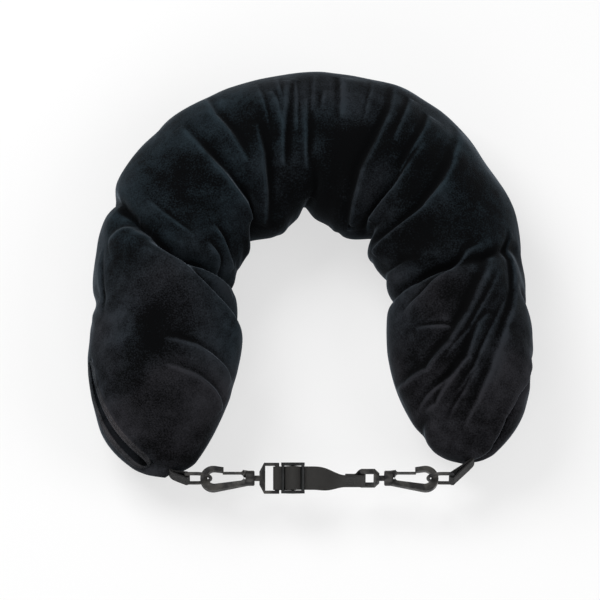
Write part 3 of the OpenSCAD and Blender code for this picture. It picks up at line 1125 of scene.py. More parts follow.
@dataclass(frozen=True)
class SeamGap:
    """Gap in the velvet that the zip lies in, and the turned hems along its lips.

    Attributes:
        near: distance from the zip's face within which the velvet is drawn in.
        half: half of the gap's width.
        floor: height of its floor on the zip's face.
        wall: width of its sides.
        start: places along the zip between which it opens.
        end: length over which it closes.
        pull_room: length past the zip, for the pull's end.
        pull_fade: length over which the gap changes past the zip.
        pull_narrower: how much narrower its half is there.
        pull_shallower: how much higher its floor is there.
        lip_middle: distance of a lip's crest from the gap.
        lip_width: half width of a lip.
        lip_height: least height of a lip.
        hem_past: length of a hem past each end of the gap.
        hem_fade: length over which a hem leaves its end.
        hem_middle: distance of a hem from the zip's middle.
        hem_half: half width of a hem.
        hem_rise: height of a hem's two rolls.
        hem_under: share of that height under the hem.
        hem_end: size of a hem's ends, as a share.
        hem_sunk: depth of its middle in the velvet.
        hem_lowest: least height of the velvet that it follows.
        hem_blur: reach within which it evens out that height.
        hem_highlight: strength of the highlight painted along a hem.
        hem_rings: rings along a hem.
        hem_points: points across a hem's top.
    """

    near: float = 30.0 * MM
    half: float = 5.4 * MM
    floor: float = -2.3 * MM
    wall: float = 3.2 * MM
    start: tuple = (-10.0 * MM, -2.0 * MM)
    end: float = 10.0 * MM
    pull_room: float = 13.0 * MM
    pull_fade: float = 8.0 * MM
    pull_narrower: float = 1.4 * MM
    pull_shallower: float = 3.0 * MM
    lip_middle: float = 4.5 * MM
    lip_width: float = 3.0 * MM
    lip_height: float = 1.6 * MM
    hem_past: float = 8.0 * MM
    hem_fade: float = 3.0 * MM
    hem_middle: float = 7.0 * MM
    hem_half: float = 3.0 * MM
    hem_rise: float = 1.3 * MM
    hem_under: float = 0.8
    hem_end: float = 0.35
    hem_sunk: float = 0.5 * MM
    hem_lowest: float = 1.0 * MM
    hem_blur: float = 2.0 * MM
    hem_highlight: float = 1.4
    hem_rings: int = 90
    hem_points: int = 17

    def sink(self, grid: np.ndarray, line: ZipLine) -> np.ndarray:
        """Draws the velvet in along the zip, so that the zip lies at the bottom of the gap.

        Args:
            grid: points of the cover.
            line: frame of the zip.

        Returns:
            The grid with the gap.
        """
        local = line.local(grid.reshape(-1, 3))
        x, y, z = local.T
        close = np.abs(z) < self.near
        far_end = line.length + self.pull_room
        past_zip = smooth(line.length, line.length + self.pull_fade, x)
        ends = smooth(*self.start, x) * (1 - smooth(far_end, far_end + self.end, x))
        half = self.half - self.pull_narrower * past_zip
        drawn = ends * (1 - smooth(half, half + self.wall, np.abs(y))) * close
        floor = self.floor + self.pull_shallower * past_zip
        local[:, 2] = z + drawn * (np.minimum(z, floor) - z)
        lip = np.exp(-((np.abs(y) - self.half - self.lip_middle) / self.lip_width) ** 2) * ends
        outside = close & (np.abs(y) > self.half)
        local[:, 2] += np.where(outside, lip * np.maximum(0.0, self.lip_height - local[:, 2]), 0.0)
        return line.world(local).reshape(grid.shape)

    def hem(self, grid: np.ndarray, line: ZipLine, hand: int) -> bpy.types.Object:
        """Turned-in double hem along one lip of the gap.

        Args:
            grid: points of the cover before the gap is drawn in.
            line: frame of the zip.
            hand: -1 above the zip, 1 below.

        Returns:
            The hem.
        """
        length = line.length + self.pull_room
        local = line.local(grid.reshape(-1, 3))
        local = local[np.abs(local[:, 2]) < self.near]
        x = np.linspace(-self.hem_past, length + self.hem_past, self.hem_rings)
        from_end = np.minimum(x + self.hem_past, length + self.hem_past - x)
        from_end = np.clip(from_end / (self.hem_past + self.hem_fade), 0, 1)
        open_by = np.sqrt(np.clip(1 - (1 - from_end) ** 2, 0, 1))
        y = hand * open_by * self.hem_middle

        def height(offset: float) -> np.ndarray:
            """Height of the cover beside the hem.

            Args:
                offset: distance from the hem's middle.

            Returns:
                The height at each ring.
            """
            away = (local[None, :, 0] - x[:, None]) ** 2 + (local[None, :, 1] - (y + offset)[:, None]) ** 2
            weight = np.exp(-away / self.hem_blur ** 2) + TINY
            return np.maximum((weight * local[None, :, 2]).sum(1) / weight.sum(1), self.hem_lowest)

        middle = np.stack([x, y, height(0.0) - self.hem_sunk], axis=1)
        slope = (height(self.hem_blur) - height(-self.hem_blur)) / (2 * self.hem_blur)
        none, one = np.zeros(self.hem_rings), np.ones(self.hem_rings)
        across = unit(np.stack([none, one, slope], axis=1)) * self.hem_half
        up = unit(np.stack([none, -slope, one], axis=1)) * self.hem_rise
        share = np.linspace(-1, 1, self.hem_points)
        top = [(s, math.sqrt(max(0.0, 1 - (2 * abs(s) - 1) ** 2))) for s in share]
        under = [(s, -self.hem_under * math.sqrt(1 - s * s)) for s in share[-2:0:-1]]
        size = (self.hem_end + (1 - self.hem_end) * open_by)[:, None]
        ring = np.stack([middle + size * (across * s + up * z) for s, z in top + under], axis=1)
        name = "seam_hem_upper" if hand < 0 else "seam_hem_lower"
        made = add_mesh(name, line.world(ring.reshape(-1, 3)), tube_faces(*ring.shape[:2]))
        # painted highlight along the hem
        VelvetFinish.brush(made, np.full(len(made.data.vertices), self.hem_highlight))
        return made


@dataclass
class VelvetCover:
    """Gathered velvet tube: the settled cloth, its pressed folds and the hemmed gap that holds the zip.

    Attributes:
        form: plain form of the tube.
        cloth: simulation that gathers it.
        zip_line: frame of the zip.
        fold_shape: shape of the pressed folds.
        seam: gap that the zip lies in.
        rows: rings of the simulated tube.
        cols: points round a ring.
        finer: points of the finished cover for each simulated one.
        crowding: how far the rings crowd towards the tips, as a share.
        crest_blur: how often the cover is smoothed to find its crests.
        crest_light_and_shade: strength of the highlight painted on a crest and of the shade painted in a
            valley.
        crest_height: height above the smoothed cover from which a crest is full.
        crest_line_highlight: strength of the highlight painted along a pressed fold's crest line.
        floor_gap: height of the underside.
        floor_soft: height within which the underside flattens.
        floor_sunk: share of it by which the pillow sinks.
        floor_reach: how many of these heights it takes to leave the floor.
        folds: pressed folds.
        lobes: places where the stuffing bunches.
        nap: brushed places, together with painted sheen on the rims and painted shade in dents and between
            ridges.
    """

    form: PillowForm = field(default_factory=PillowForm)
    cloth: GatheredCloth = field(default_factory=GatheredCloth)
    zip_line: ZipLine = field(default_factory=ZipLine)
    fold_shape: FoldShape = field(default_factory=FoldShape)
    seam: SeamGap = field(default_factory=SeamGap)
    rows: int = 200
    cols: int = 100
    finer: int = 3
    crowding: float = 0.25
    crest_blur: int = 9
    crest_light_and_shade: float = 1.3
    crest_height: float = 0.7 * MM
    crest_line_highlight: float = 2.4
    floor_gap: float = 0.3 * MM
    floor_soft: float = 5.0 * MM
    floor_sunk: float = 0.18
    floor_reach: float = 4.0
    folds: tuple = ()
    lobes: tuple = ()
    nap: tuple = ()

    def build(self, finishes: Finishes) -> None:
        """Makes the cover and its hems.

        Args:
            finishes: the object's materials.
        """
        left, right = self.form.ends
        ends = np.sin(np.linspace(-np.pi / 2, np.pi / 2, self.rows))
        even = np.linspace(-1, 1, self.rows)
        share = 0.5 + 0.5 * (self.crowding * ends + (1 - self.crowding) * even)
        stations = left + (right - left) * share
        angles = np.arange(self.cols) * 360.0 / self.cols
        station, angle = np.meshgrid(stations, angles, indexing="ij")
        plain = self.form.points(station, angle)
        fine = refine(plain, self.finer)
        outward = grid_normals(fine)
        lift, lines = self.fold_heights(fine, outward)
        plain = self.cloth.settle(self.form, station, angle, lift[::self.finer, ::self.finer])
        fine_station = np.interp(np.arange(fine.shape[0]) / self.finer, np.arange(self.rows), stations)
        fine_angle = np.arange(fine.shape[1]) * 360.0 / fine.shape[1]
        places = np.meshgrid(fine_station, fine_angle, indexing="ij")
        swell = MM * sum(lobe.value(*places) for lobe in self.lobes)
        grid = refine(plain, self.finer) + outward * (swell + lift)[..., None]
        hems = [self.seam.hem(grid, self.zip_line, hand) for hand in (-1, 1)]
        grid = self.lay_down(self.seam.sink(grid, self.zip_line))
        cover = add_mesh("velvet_cover_soft", grid.reshape(-1, 3), tube_faces(*grid.shape[:2]))
        # The nap attribute paints sheen and shade with the brushed places, a highlight on crests, shade in
        # valleys and highlight lines along the pressed folds
        nap = sum(spot.value(*places) for spot in self.nap) + self.crest_light_and_shade * self.crests(grid, outward)
        VelvetFinish.brush(cover, nap + self.crest_line_highlight * lines)
        dress(cover, finishes.velvet, Body.PILLOW, "velvet", "velvet_cover", "filling")
        for hem in hems:
            dress(hem, finishes.hem, Body.PILLOW, "velvet")

    def crests(self, grid: np.ndarray, outward: np.ndarray) -> np.ndarray:
        """How far each point stands out of the smoothed cover, for a highlight painted on a crest and shade
        painted in a valley.

        Args:
            grid: points of the finished cover.
            outward: outward directions.

        Returns:
            From 1 on a crest to -1 in a valley.
        """
        above = np.einsum("ijk,ijk->ij", grid - GatheredCloth.blurred(grid, self.crest_blur), outward)
        return np.clip(above / self.crest_height, -1.0, 1.0)

    def fold_heights(self, grid: np.ndarray, normals: np.ndarray) -> tuple:
        """How far the pressed folds stand out of the plain form, or into it.

        Args:
            grid: points of the plain form.
            normals: outward normals there.

        Returns:
            Height at each point, and how much it lies under a highlight painted on a crest line.
        """
        points, out = grid.reshape(-1, 3), normals.reshape(-1, 3)
        pairs = [self.fold_lift(fold, points, out) for fold in self.folds]
        lift = sum((pair[0] for pair in pairs), np.zeros(len(points)))
        lines = sum((pair[1] for pair in pairs), np.zeros(len(points)))
        return lift.reshape(grid.shape[:2]), lines.reshape(grid.shape[:2])

    def fold_lift(self, fold: Fold, points: np.ndarray, normals: np.ndarray) -> tuple:
        """Height that one fold adds.

        Args:
            fold: the fold.
            points: points of the cover.
            normals: outward normals there.

        Returns:
            Height at each point, and from 0 to 1 how much it lies under the highlight painted on the crest.
        """
        line = np.array(fold.line, float)
        shape = self.fold_shape
        at = np.linspace(0, len(line) - 1, shape.steps * (len(line) - 1) + 1)
        station = np.interp(at, np.arange(len(line)), line[:, 0]) * MM
        angle = np.interp(at, np.arange(len(line)), line[:, 1])
        path = self.form.points(station, angle)
        lift, line_at = np.zeros(len(points)), np.zeros(len(points))
        reach = shape.reach * fold.width * MM
        low, high = path.min(0) - reach, path.max(0) + reach
        near = np.nonzero(((points > low) & (points < high)).all(1))[0]
        gap = points[near, None, :] - path[None, :, :]
        far = np.linalg.norm(gap, axis=2)
        nearest = far.argmin(1)
        away = gap[np.arange(len(near)), nearest]
        run = unit(np.gradient(path, axis=0))[nearest]
        towards_tip = 1.0 if line[:, 0].mean() > 0 else -1.0
        side = towards_tip * np.einsum("ij,ij->i", np.cross(normals[near], run), away) / MM
        past = np.abs(np.einsum("ij,ij->i", run, away)) / MM
        flat = np.abs(np.einsum("ij,ij->i", normals[near], away)) / MM
        share = nearest / (len(path) - 1)
        fade = np.sin(np.pi * share) ** shape.end_power * np.exp(-(past / shape.end_length) ** 2)
        fade *= 1 - smooth(*shape.flat, flat)
        if fold.press is Press.GROOVE:
            form = -np.exp(-(side / fold.width) ** 2)
        else:
            form = shape.ridge(side, fold.width)
            line_at[near] = shape.crest(side, fold.height) * fade
        lift[near] = form * fade * fold.height * MM
        return lift, line_at

    def lay_down(self, grid: np.ndarray) -> np.ndarray:
        """Flattens the underside where the pillow lies on a surface.

        Args:
            grid: points of the cover.

        Returns:
            The flattened grid.
        """
        soft = self.floor_soft
        z = grid[..., 2]
        rounded = 0.5 * (z + np.sqrt(z * z + soft * soft)) - self.floor_sunk * soft
        grid = grid.copy()
        grid[..., 2] = np.maximum(np.where(z < self.floor_reach * soft, rounded, z), self.floor_gap)
        return grid


@dataclass
class MouldedPart:
    """A hard piece that keeps its frame node's shape, with rounded edges.

    Attributes:
        node: frame node that it stands for.
        body: body that it moves with.
        slot: material slot of the record.
        edge: width of its rounded edges.
        same_point: distance within which points of the node are one.
        flat_angle: angle in degrees below which faces of the node are one.
        round_angle: angle in degrees from which an edge is rounded.
        sharp_angle: angle in degrees from which an edge is shaded sharp.
        segments: steps of a rounded edge.
    """

    node: str
    body: Body
    slot: str
    edge: float
    same_point: float = 0.002 * MM
    flat_angle: float = 1.0
    round_angle: float = 38.0
    sharp_angle: float = 32.0
    segments: int = 3

    def build(self, material: bpy.types.Material) -> None:
        """Makes the piece.

        Args:
            material: its finish.
        """
        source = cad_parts[self.node]
        mesh = source.data.copy()
        mesh.materials.clear()
        work = bmesh.new()
        work.from_mesh(mesh)
        bmesh.ops.remove_doubles(work, verts=work.verts, dist=self.same_point)
        bmesh.ops.dissolve_limit(work, angle_limit=math.radians(self.flat_angle), verts=work.verts,
                                 edges=work.edges)
        work.to_mesh(mesh)
        work.free()
        obj = add_object(self.node + "_moulded", mesh)
        bevel = obj.modifiers.new("edge", "BEVEL")
        bevel.width = self.edge
        bevel.segments = self.segments
        bevel.limit_method = "ANGLE"
        bevel.angle_limit = math.radians(self.round_angle)
        bevel.use_clamp_overlap = True
        apply_modifiers(obj)
        shade_smooth(obj.data)
        obj.data.set_sharp_from_angle(angle=math.radians(self.sharp_angle))
        dress(obj, material, self.body, self.slot, self.node)


def ribbon(name: str, path: np.ndarray, across: np.ndarray, width: float,
           thickness: float) -> bpy.types.Object:
    """Makes a strip of webbing with rounded selvedges.

    Args:
        name: name of the piece.
        path: points of its middle line.
        across: unit vectors across its width, one for each point.
        width: width of the strip.
        thickness: thickness of the strip.

    Returns:
        The strip, with UV coordinates in metres along and across it.
    """
    columns, edge_points, edge_turn = 10, 4, 60.0
    normal = unit(np.cross(across, unit(np.gradient(path, axis=0))))
    half = thickness / 2
    flat = np.linspace(-1, 1, columns) * (width / 2 - half)
    edge = np.radians(np.linspace(-edge_turn, edge_turn, edge_points))
    top = [(y, half) for y in flat]
    right = [(width / 2 - half + half * math.cos(a), -half * math.sin(a)) for a in edge]
    bottom = [(-y, -half) for y in flat]
    left = [(-y, -z) for y, z in right]
    loop = top + right + bottom + left
    points = np.array([[p + y * a + z * n for y, z in loop] for p, a, n in zip(path, across, normal)])
    rows, cols = points.shape[:2]
    obj = add_mesh(name, points.reshape(-1, 3), tube_faces(rows, cols))
    lengths = run_lengths(path)
    uv = obj.data.uv_layers.new(name="weave")
    for corner in obj.data.loops:
        row, col = divmod(corner.vertex_index, cols)
        uv.data[corner.index].uv = (lengths[row], loop[col][0])
    return obj


def smooth_path(points: list, step: float) -> np.ndarray:
    """Even points along a smooth curve through a few points.

    Args:
        points: points that the curve passes through.
        step: spacing of the result.

    Returns:
        Points along the curve.
    """
    leg_steps, fewest = 24, 3
    base = np.array(points, float)
    padded = np.concatenate([2 * base[:1] - base[1:2], base, 2 * base[-1:] - base[-2:-1]])
    shares = np.linspace(0, 1, leg_steps, endpoint=False)
    legs = zip(padded, padded[1:], padded[2:], padded[3:])
    fine = np.array([spline(*leg, t) for leg in legs for t in shares] + [base[-1]])
    lengths = run_lengths(fine)
    count = max(fewest, int(lengths[-1] / step) + 1)
    at = np.linspace(0, lengths[-1], count)
    return np.stack([np.interp(at, lengths, fine[:, i]) for i in range(fine.shape[1])], axis=1)


def stitches(name: str, rows: list, length: float, thickness: float) -> bpy.types.Object:
    """Makes rows of sewing stitches.

    Args:
        name: name of the piece.
        rows: each row's start, end and outward normal.
        length: length of one stitch.
        thickness: thickness of the thread.

    Returns:
        All the stitches as one piece.
    """
    points, faces = [], []
    sides, rings = 6, 5
    spacing, bow_height, end_size = 1.35 * length, 0.55 * thickness, 0.06
    for start, end, normal in rows:
        start, end, normal = Vector(start), Vector(end), Vector(normal).normalized()
        run = end - start
        count = max(1, round(run.length / spacing))
        along = run.normalized()
        sideways = normal.cross(along)
        for i in range(count):
            middle = start + run * ((i + 0.5) / count)
            first = len(points)
            for ring in range(rings):
                u = ring / (rings - 1) * 2 - 1
                bow = normal * (bow_height * (1 - u * u))
                radius = thickness / 2 * math.sqrt(max(end_size, 1 - u ** 4))
                for side in range(sides):
                    a = math.tau * side / sides
                    points.append(middle + along * (u * length / 2) + bow
                                  + sideways * (radius * math.cos(a)) + normal * (radius * math.sin(a)))
            for face in tube_faces(rings, sides):
                faces.append(tuple(first + v for v in face))
    return add_mesh(name, np.array([tuple(p) for p in points]), faces)


@dataclass
class Strap:
    """Webbing of the strap, its return layer, its hump in the adjuster and its sewing."""

    width: float = 0.020
    thickness: float = 0.0012
    gap: float = 0.0003
    axis_y: float = -0.17195
    axis_z: float = 0.038
    left_bar: float = -0.0283
    right_bar: float = 0.0433
    bar_radius: float = 0.0019
    adjuster_x: float = -0.0149
    middle_bar_radius: float = 0.0011
    left_roll: float = 16.0
    right_roll: float = 80.0
    twist_from: float = 0.0021
    twist_to: float = 0.0293
    overlap: float = 0.008
    tuck: float = 0.006
    hump_half: float = 0.0062
    hump_rise: float = 0.0046
    layer_gap: float = 0.1 * MM
    hump_gap: float = 0.12 * MM
    hump_step: float = 0.4 * MM
    hump_shape: tuple = ((-1.0, 0.0), (-0.75, 0.4), (-0.35, 0.9), (0.1, 1.0), (0.5, 0.75), (0.8, 0.3),
                         (1.0, 0.0))
    run_points: int = 40
    tail_dip: float = 0.5 * MM
    tail_step: float = 0.8 * MM
    loop_points: int = 14
    loop_tail: tuple = ((0.7 * MM, 0.9 * MM), 1.8 * MM)
    loop_start: float = 1.0 * MM
    loop_end: float = 4.2 * MM
    sewn_from: float = 1.5 * MM
    sewn_inset: float = 2.2 * MM
    stitch: float = 2.4 * MM
    thread: float = 0.5 * MM

    @property
    def wrap(self) -> float:
        """Radius of the webbing's middle round a frame's bar."""
        return self.bar_radius + self.gap + self.thickness / 2

    def roll(self, x: np.ndarray) -> np.ndarray:
        """Roll of the strap about its axis, in radians."""
        turned = smooth(self.twist_from, self.twist_to, x)
        return np.radians(self.left_roll + (self.right_roll - self.left_roll) * turned)

    def lay(self, name: str, flat: np.ndarray) -> bpy.types.Object:
        """Rolls a path of the strap's side view into place as webbing.

        Args:
            name: name of the piece.
            flat: points along the strap and above its axis.

        Returns:
            The webbing.
        """
        x, z = flat.T
        a = self.roll(x)
        path = np.stack([x, self.axis_y - z * np.sin(a), self.axis_z + z * np.cos(a)], axis=1)
        across = np.stack([np.zeros(len(a)), np.cos(a), np.sin(a)], axis=1)
        return ribbon(name, path, across, self.width, self.thickness)

    @staticmethod
    def arc(x: float, z: float, radius: float, start: float, end: float, count: int = 14) -> list:
        """Points on an arc of the strap's side view."""
        turn = np.radians(np.linspace(start, end, count))
        return [(x + radius * math.cos(a), z + radius * math.sin(a)) for a in turn]

    def build(self, finishes: Finishes) -> None:
        """Makes the webbing and its sewing.

        Args:
            finishes: the object's materials.
        """
        self.main_run(finishes)
        self.return_layer(finishes)
        self.hump(finishes)
        self.overlap_sewing(finishes)

    def hump(self, finishes: Finishes) -> None:
        """Webbing that the middle bar pushes up between the adjuster's upper bars, and that stays with it.

        Args:
            finishes: the object's materials.
        """
        low = self.wrap + self.thickness + self.hump_gap
        flat = [(self.adjuster_x + self.hump_half * x, low + self.hump_rise * z) for x, z in self.hump_shape]
        web = self.lay("strap_hump_woven", smooth_path(flat, self.hump_step))
        dress(web, finishes.webbing, Body.ADJUSTER, "webbing")

    def main_run(self, finishes: Finishes) -> None:
        """Webbing from the left frame's bar, through the adjuster, to its sewn end at the right frame.

        Args:
            finishes: the object's materials.
        """
        under = self.wrap - self.thickness - self.layer_gap
        straight = [(x, self.wrap) for x in np.linspace(self.left_bar, self.right_bar, self.run_points)[1:-1]]
        tail = smooth_path([(self.right_bar, -self.wrap),
                            (self.right_bar - self.tuck / 3, -self.wrap + self.tail_dip),
                            (self.right_bar - self.tuck * 0.8, under - self.tail_dip),
                            (self.right_bar - self.tuck, under),
                            (self.right_bar - self.tuck - self.overlap, under)], self.tail_step)
        flat = np.array(self.arc(self.left_bar, 0, self.wrap, 270, 90) + straight
                        + self.arc(self.right_bar, 0, self.wrap, 90, -90) + [tuple(p) for p in tail[1:]])
        web = self.lay("strap_webbing_woven", flat)
        dress(web, finishes.webbing, Body.STRAP, "webbing", "strap_webbing")

    def return_layer(self, finishes: Finishes) -> None:
        """Webbing from the left frame back to the adjuster's middle bar.

        Args:
            finishes: the object's materials.
        """
        radius = self.middle_bar_radius + self.gap + self.thickness / 2
        z = -self.wrap + radius
        run = [(x, -self.wrap) for x in np.linspace(self.left_bar, self.adjuster_x, self.loop_points)[:-1]]
        bend = self.arc(self.adjuster_x, z, radius, -90, 180)
        (out, down), end = self.loop_tail
        tail = [(self.adjuster_x - radius - out, z - down),
                (self.adjuster_x - radius - end, -self.wrap + self.thickness + self.layer_gap)]
        web = self.lay("strap_loop_woven", np.array(run + bend + tail))
        web.data.materials.append(finishes.webbing)
        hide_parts("strap_loop")
        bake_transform(web)
        LOG.info("%s stretches between strap and adjuster", web.name)

    def overlap_sewing(self, finishes: Finishes) -> None:
        """Box of stitches that holds the strap's sewn end.

        Args:
            finishes: the object's materials.
        """
        top = self.wrap + self.thickness / 2
        last = self.right_bar - self.tuck
        first = last - self.overlap + self.sewn_from
        inset = self.width / 2 - self.sewn_inset
        parts = 4

        def spot(x: float, y: float) -> tuple:
            """Place on top of the strap.

            Args:
                x: distance along the strap.
                y: distance across it.

            Returns:
                The point there, and its normal.
            """
            a = float(self.roll(np.array(x)))
            normal = (0.0, -math.sin(a), math.cos(a))
            return Vector((x, self.axis_y + y * math.cos(a) - top * math.sin(a),
                           self.axis_z + y * math.sin(a) + top * math.cos(a))), normal

        rows = []
        corners = [(first, -inset), (last, -inset), (last, inset), (first, inset)]
        edges, diagonals = ((0, 1), (1, 2), (2, 3), (3, 0)), ((0, 2), (1, 3))
        for (x0, y0), (x1, y1) in ((corners[i], corners[j]) for i, j in edges + diagonals):
            for i in range(parts):
                s, e = i / parts, (i + 1) / parts
                a, normal = spot(x0 + (x1 - x0) * s, y0 + (y1 - y0) * s)
                b, _ = spot(x0 + (x1 - x0) * e, y0 + (y1 - y0) * e)
                rows.append((a, b, normal))
        sewing = stitches("strap_box_stitch", rows, self.stitch, self.thread)
        dress(sewing, finishes.thread, Body.STRAP, "webbing")


@dataclass
class Tab:
    """Webbing loop that holds a D-ring at an arm's tip."""

    side: Side
    bar: tuple
    seat: tuple
    root: tuple
    height: float = 0.038
    width: float = 0.020
    thickness: float = 0.0012
    bar_radius: float = 0.0015
    gap: float = 0.0003
    layer: float = 0.55
    loop_turn: tuple = (78.0, 282.0)
    loop_points: int = 18
    web_step: float = 0.7 * MM
    tack_rows: int = 3
    tack_from: float = 1.6 * MM
    tack_step: float = 1.1 * MM
    tack_out: float = 1.08
    tack_spread: float = 0.35 * MM
    tack_inset: float = 2.0 * MM
    stitch: float = 1.5 * MM
    thread: float = 0.42 * MM

    def build(self, finishes: Finishes) -> None:
        """Makes the tab and its bar tack.

        Args:
            finishes: the object's materials.
        """
        name = self.side.name.lower()
        bar, seat, root = (np.array(p) for p in (self.bar, self.seat, self.root))
        toward = unit(seat - bar)
        sideways = np.array([-toward[1], toward[0]])
        radius = self.bar_radius + self.gap + self.thickness / 2
        turn = np.radians(np.linspace(*self.loop_turn, self.loop_points))
        loop = [bar + radius * (toward * math.cos(a) + sideways * math.sin(a)) for a in turn]
        half = self.thickness * self.layer
        before = [root + sideways * half, seat + sideways * half]
        after = [seat - sideways * half, root - sideways * half]
        flat = smooth_path(before + loop + after, self.web_step)
        path = np.column_stack([flat, np.full(len(flat), self.height)])
        across = np.tile([0.0, 0.0, 1.0], (len(path), 1))
        web = ribbon(name + "_tab_woven", path, across, self.width, self.thickness)
        dress(web, finishes.tab, Body.PILLOW, "webbing", name + "_tab")
        self.tack(finishes, seat, toward, sideways, name)

    def tack(self, finishes: Finishes, seat: np.ndarray, toward: np.ndarray, sideways: np.ndarray,
             name: str) -> None:
        """Sews the tab's two layers together where they meet.

        Args:
            finishes: the object's materials.
            seat: where the tab meets the tip.
            toward: direction from the ring to the tip.
            sideways: direction across the tab's layers.
            name: left or right.
        """
        rows = []
        for face in (-1, 1):
            normal = (*(sideways * face), 0.0)
            for step in range(self.tack_rows):
                back = self.tack_from + self.tack_step * step
                out = self.thickness * self.tack_out + self.tack_spread * step
                spot = seat - toward * back + sideways * face * out
                reach = self.width / 2 - self.tack_inset
                rows.append(((*spot, self.height - reach), (*spot, self.height + reach), normal))
        sewing = stitches(name + "_tab_tack", rows, self.stitch, self.thread)
        dress(sewing, finishes.thread, Body.PILLOW, "webbing")


@dataclass
class ZipDressing:
    """Woven tapes, moulded teeth, stops, slider and pull of the zip."""

    line: ZipLine = field(default_factory=ZipLine)
    stops_edge: float = 0.1 * MM
    slider_edge: float = 0.25 * MM
    pull_edge: float = 0.3 * MM
    tape_steps: int = 60
    tape_trim: float = 0.3 * MM
    tooth_pitch: float = 2.4 * MM
    tooth_size: tuple = (0.9 * MM, 2.0 * MM)
    tooth_edge: float = 0.22 * MM
    tooth_out: float = 1.0 * MM
    toothless: float = 4.4 * MM

    def build(self, finishes: Finishes) -> None:
        """Makes the tapes with their teeth, the stops, the slider and the pull.

        Args:
            finishes: the object's materials.
        """
        for node, hand in (("zip_tape_upper", -1), ("zip_tape_lower", 1)):
            self.tape(finishes, node, hand)
        MouldedPart("zip_stops", Body.PILLOW, "zip_metal", self.stops_edge).build(finishes.lacquer)
        MouldedPart("zip_slider", Body.ZIP_SLIDER, "zip_metal", self.slider_edge).build(finishes.lacquer)
        MouldedPart("zip_pull", Body.ZIP_PULL, "zip_metal", self.pull_edge).build(finishes.lacquer)

    def tape(self, finishes: Finishes, node: str, hand: int) -> None:
        """One woven tape with its row of moulded teeth.

        Args:
            finishes: the object's materials.
            node: frame node that it stands for.
            hand: -1 above the teeth, 1 below.
        """
        z = self.line.tape_top - self.line.tape_thickness / 2
        y = hand * (self.line.tooth_length / 2 + self.line.tape_width / 2)
        flat = np.array([(x, y, z) for x in np.linspace(0, self.line.length, self.tape_steps)])
        sideways = self.line.matrix.to_3x3() @ Vector((0, 1, 0))
        across = np.tile(np.array(sideways), (self.tape_steps, 1))
        web = ribbon(node + "_woven", self.line.world(flat), across, self.line.tape_width - self.tape_trim,
                     self.line.tape_thickness)
        dress(web, finishes.tape, Body.PILLOW, "zip_tape", node)
        dress(self.teeth(node, hand), finishes.hook, Body.PILLOW, "zip_tape")

    def teeth(self, node: str, hand: int) -> bpy.types.Object:
        """Row of rounded teeth along a tape's edge.

        Args:
            node: frame node of the tape.
            hand: -1 above the teeth, 1 below.

        Returns:
            The teeth as one piece.
        """
        thick, tall = self.tooth_size
        first = self.toothless + thick / 2 + (0.0 if hand < 0 else self.tooth_pitch / 2)
        count = int((self.line.length - 2 * self.toothless) / self.tooth_pitch)
        middle = self.line.tape_top - self.line.tape_thickness / 2
        scale = Matrix.Diagonal((thick, self.line.tooth_length, tall, 1.0))
        work = bmesh.new()
        for i in range(count):
            made = bmesh.ops.create_cube(work, size=1.0)
            move = Matrix.Translation((first + i * self.tooth_pitch, hand * self.tooth_out, middle))
            bmesh.ops.transform(work, matrix=self.line.matrix @ move @ scale, verts=made["verts"])
        bmesh.ops.bevel(work, geom=work.edges[:], offset=self.tooth_edge, segments=2, affect="EDGES",
                        clamp_overlap=True)
        mesh = bpy.data.meshes.new(node + "_teeth")
        work.to_mesh(mesh)
        work.free()
        shade_smooth(mesh)
        return add_object(mesh.name, mesh)


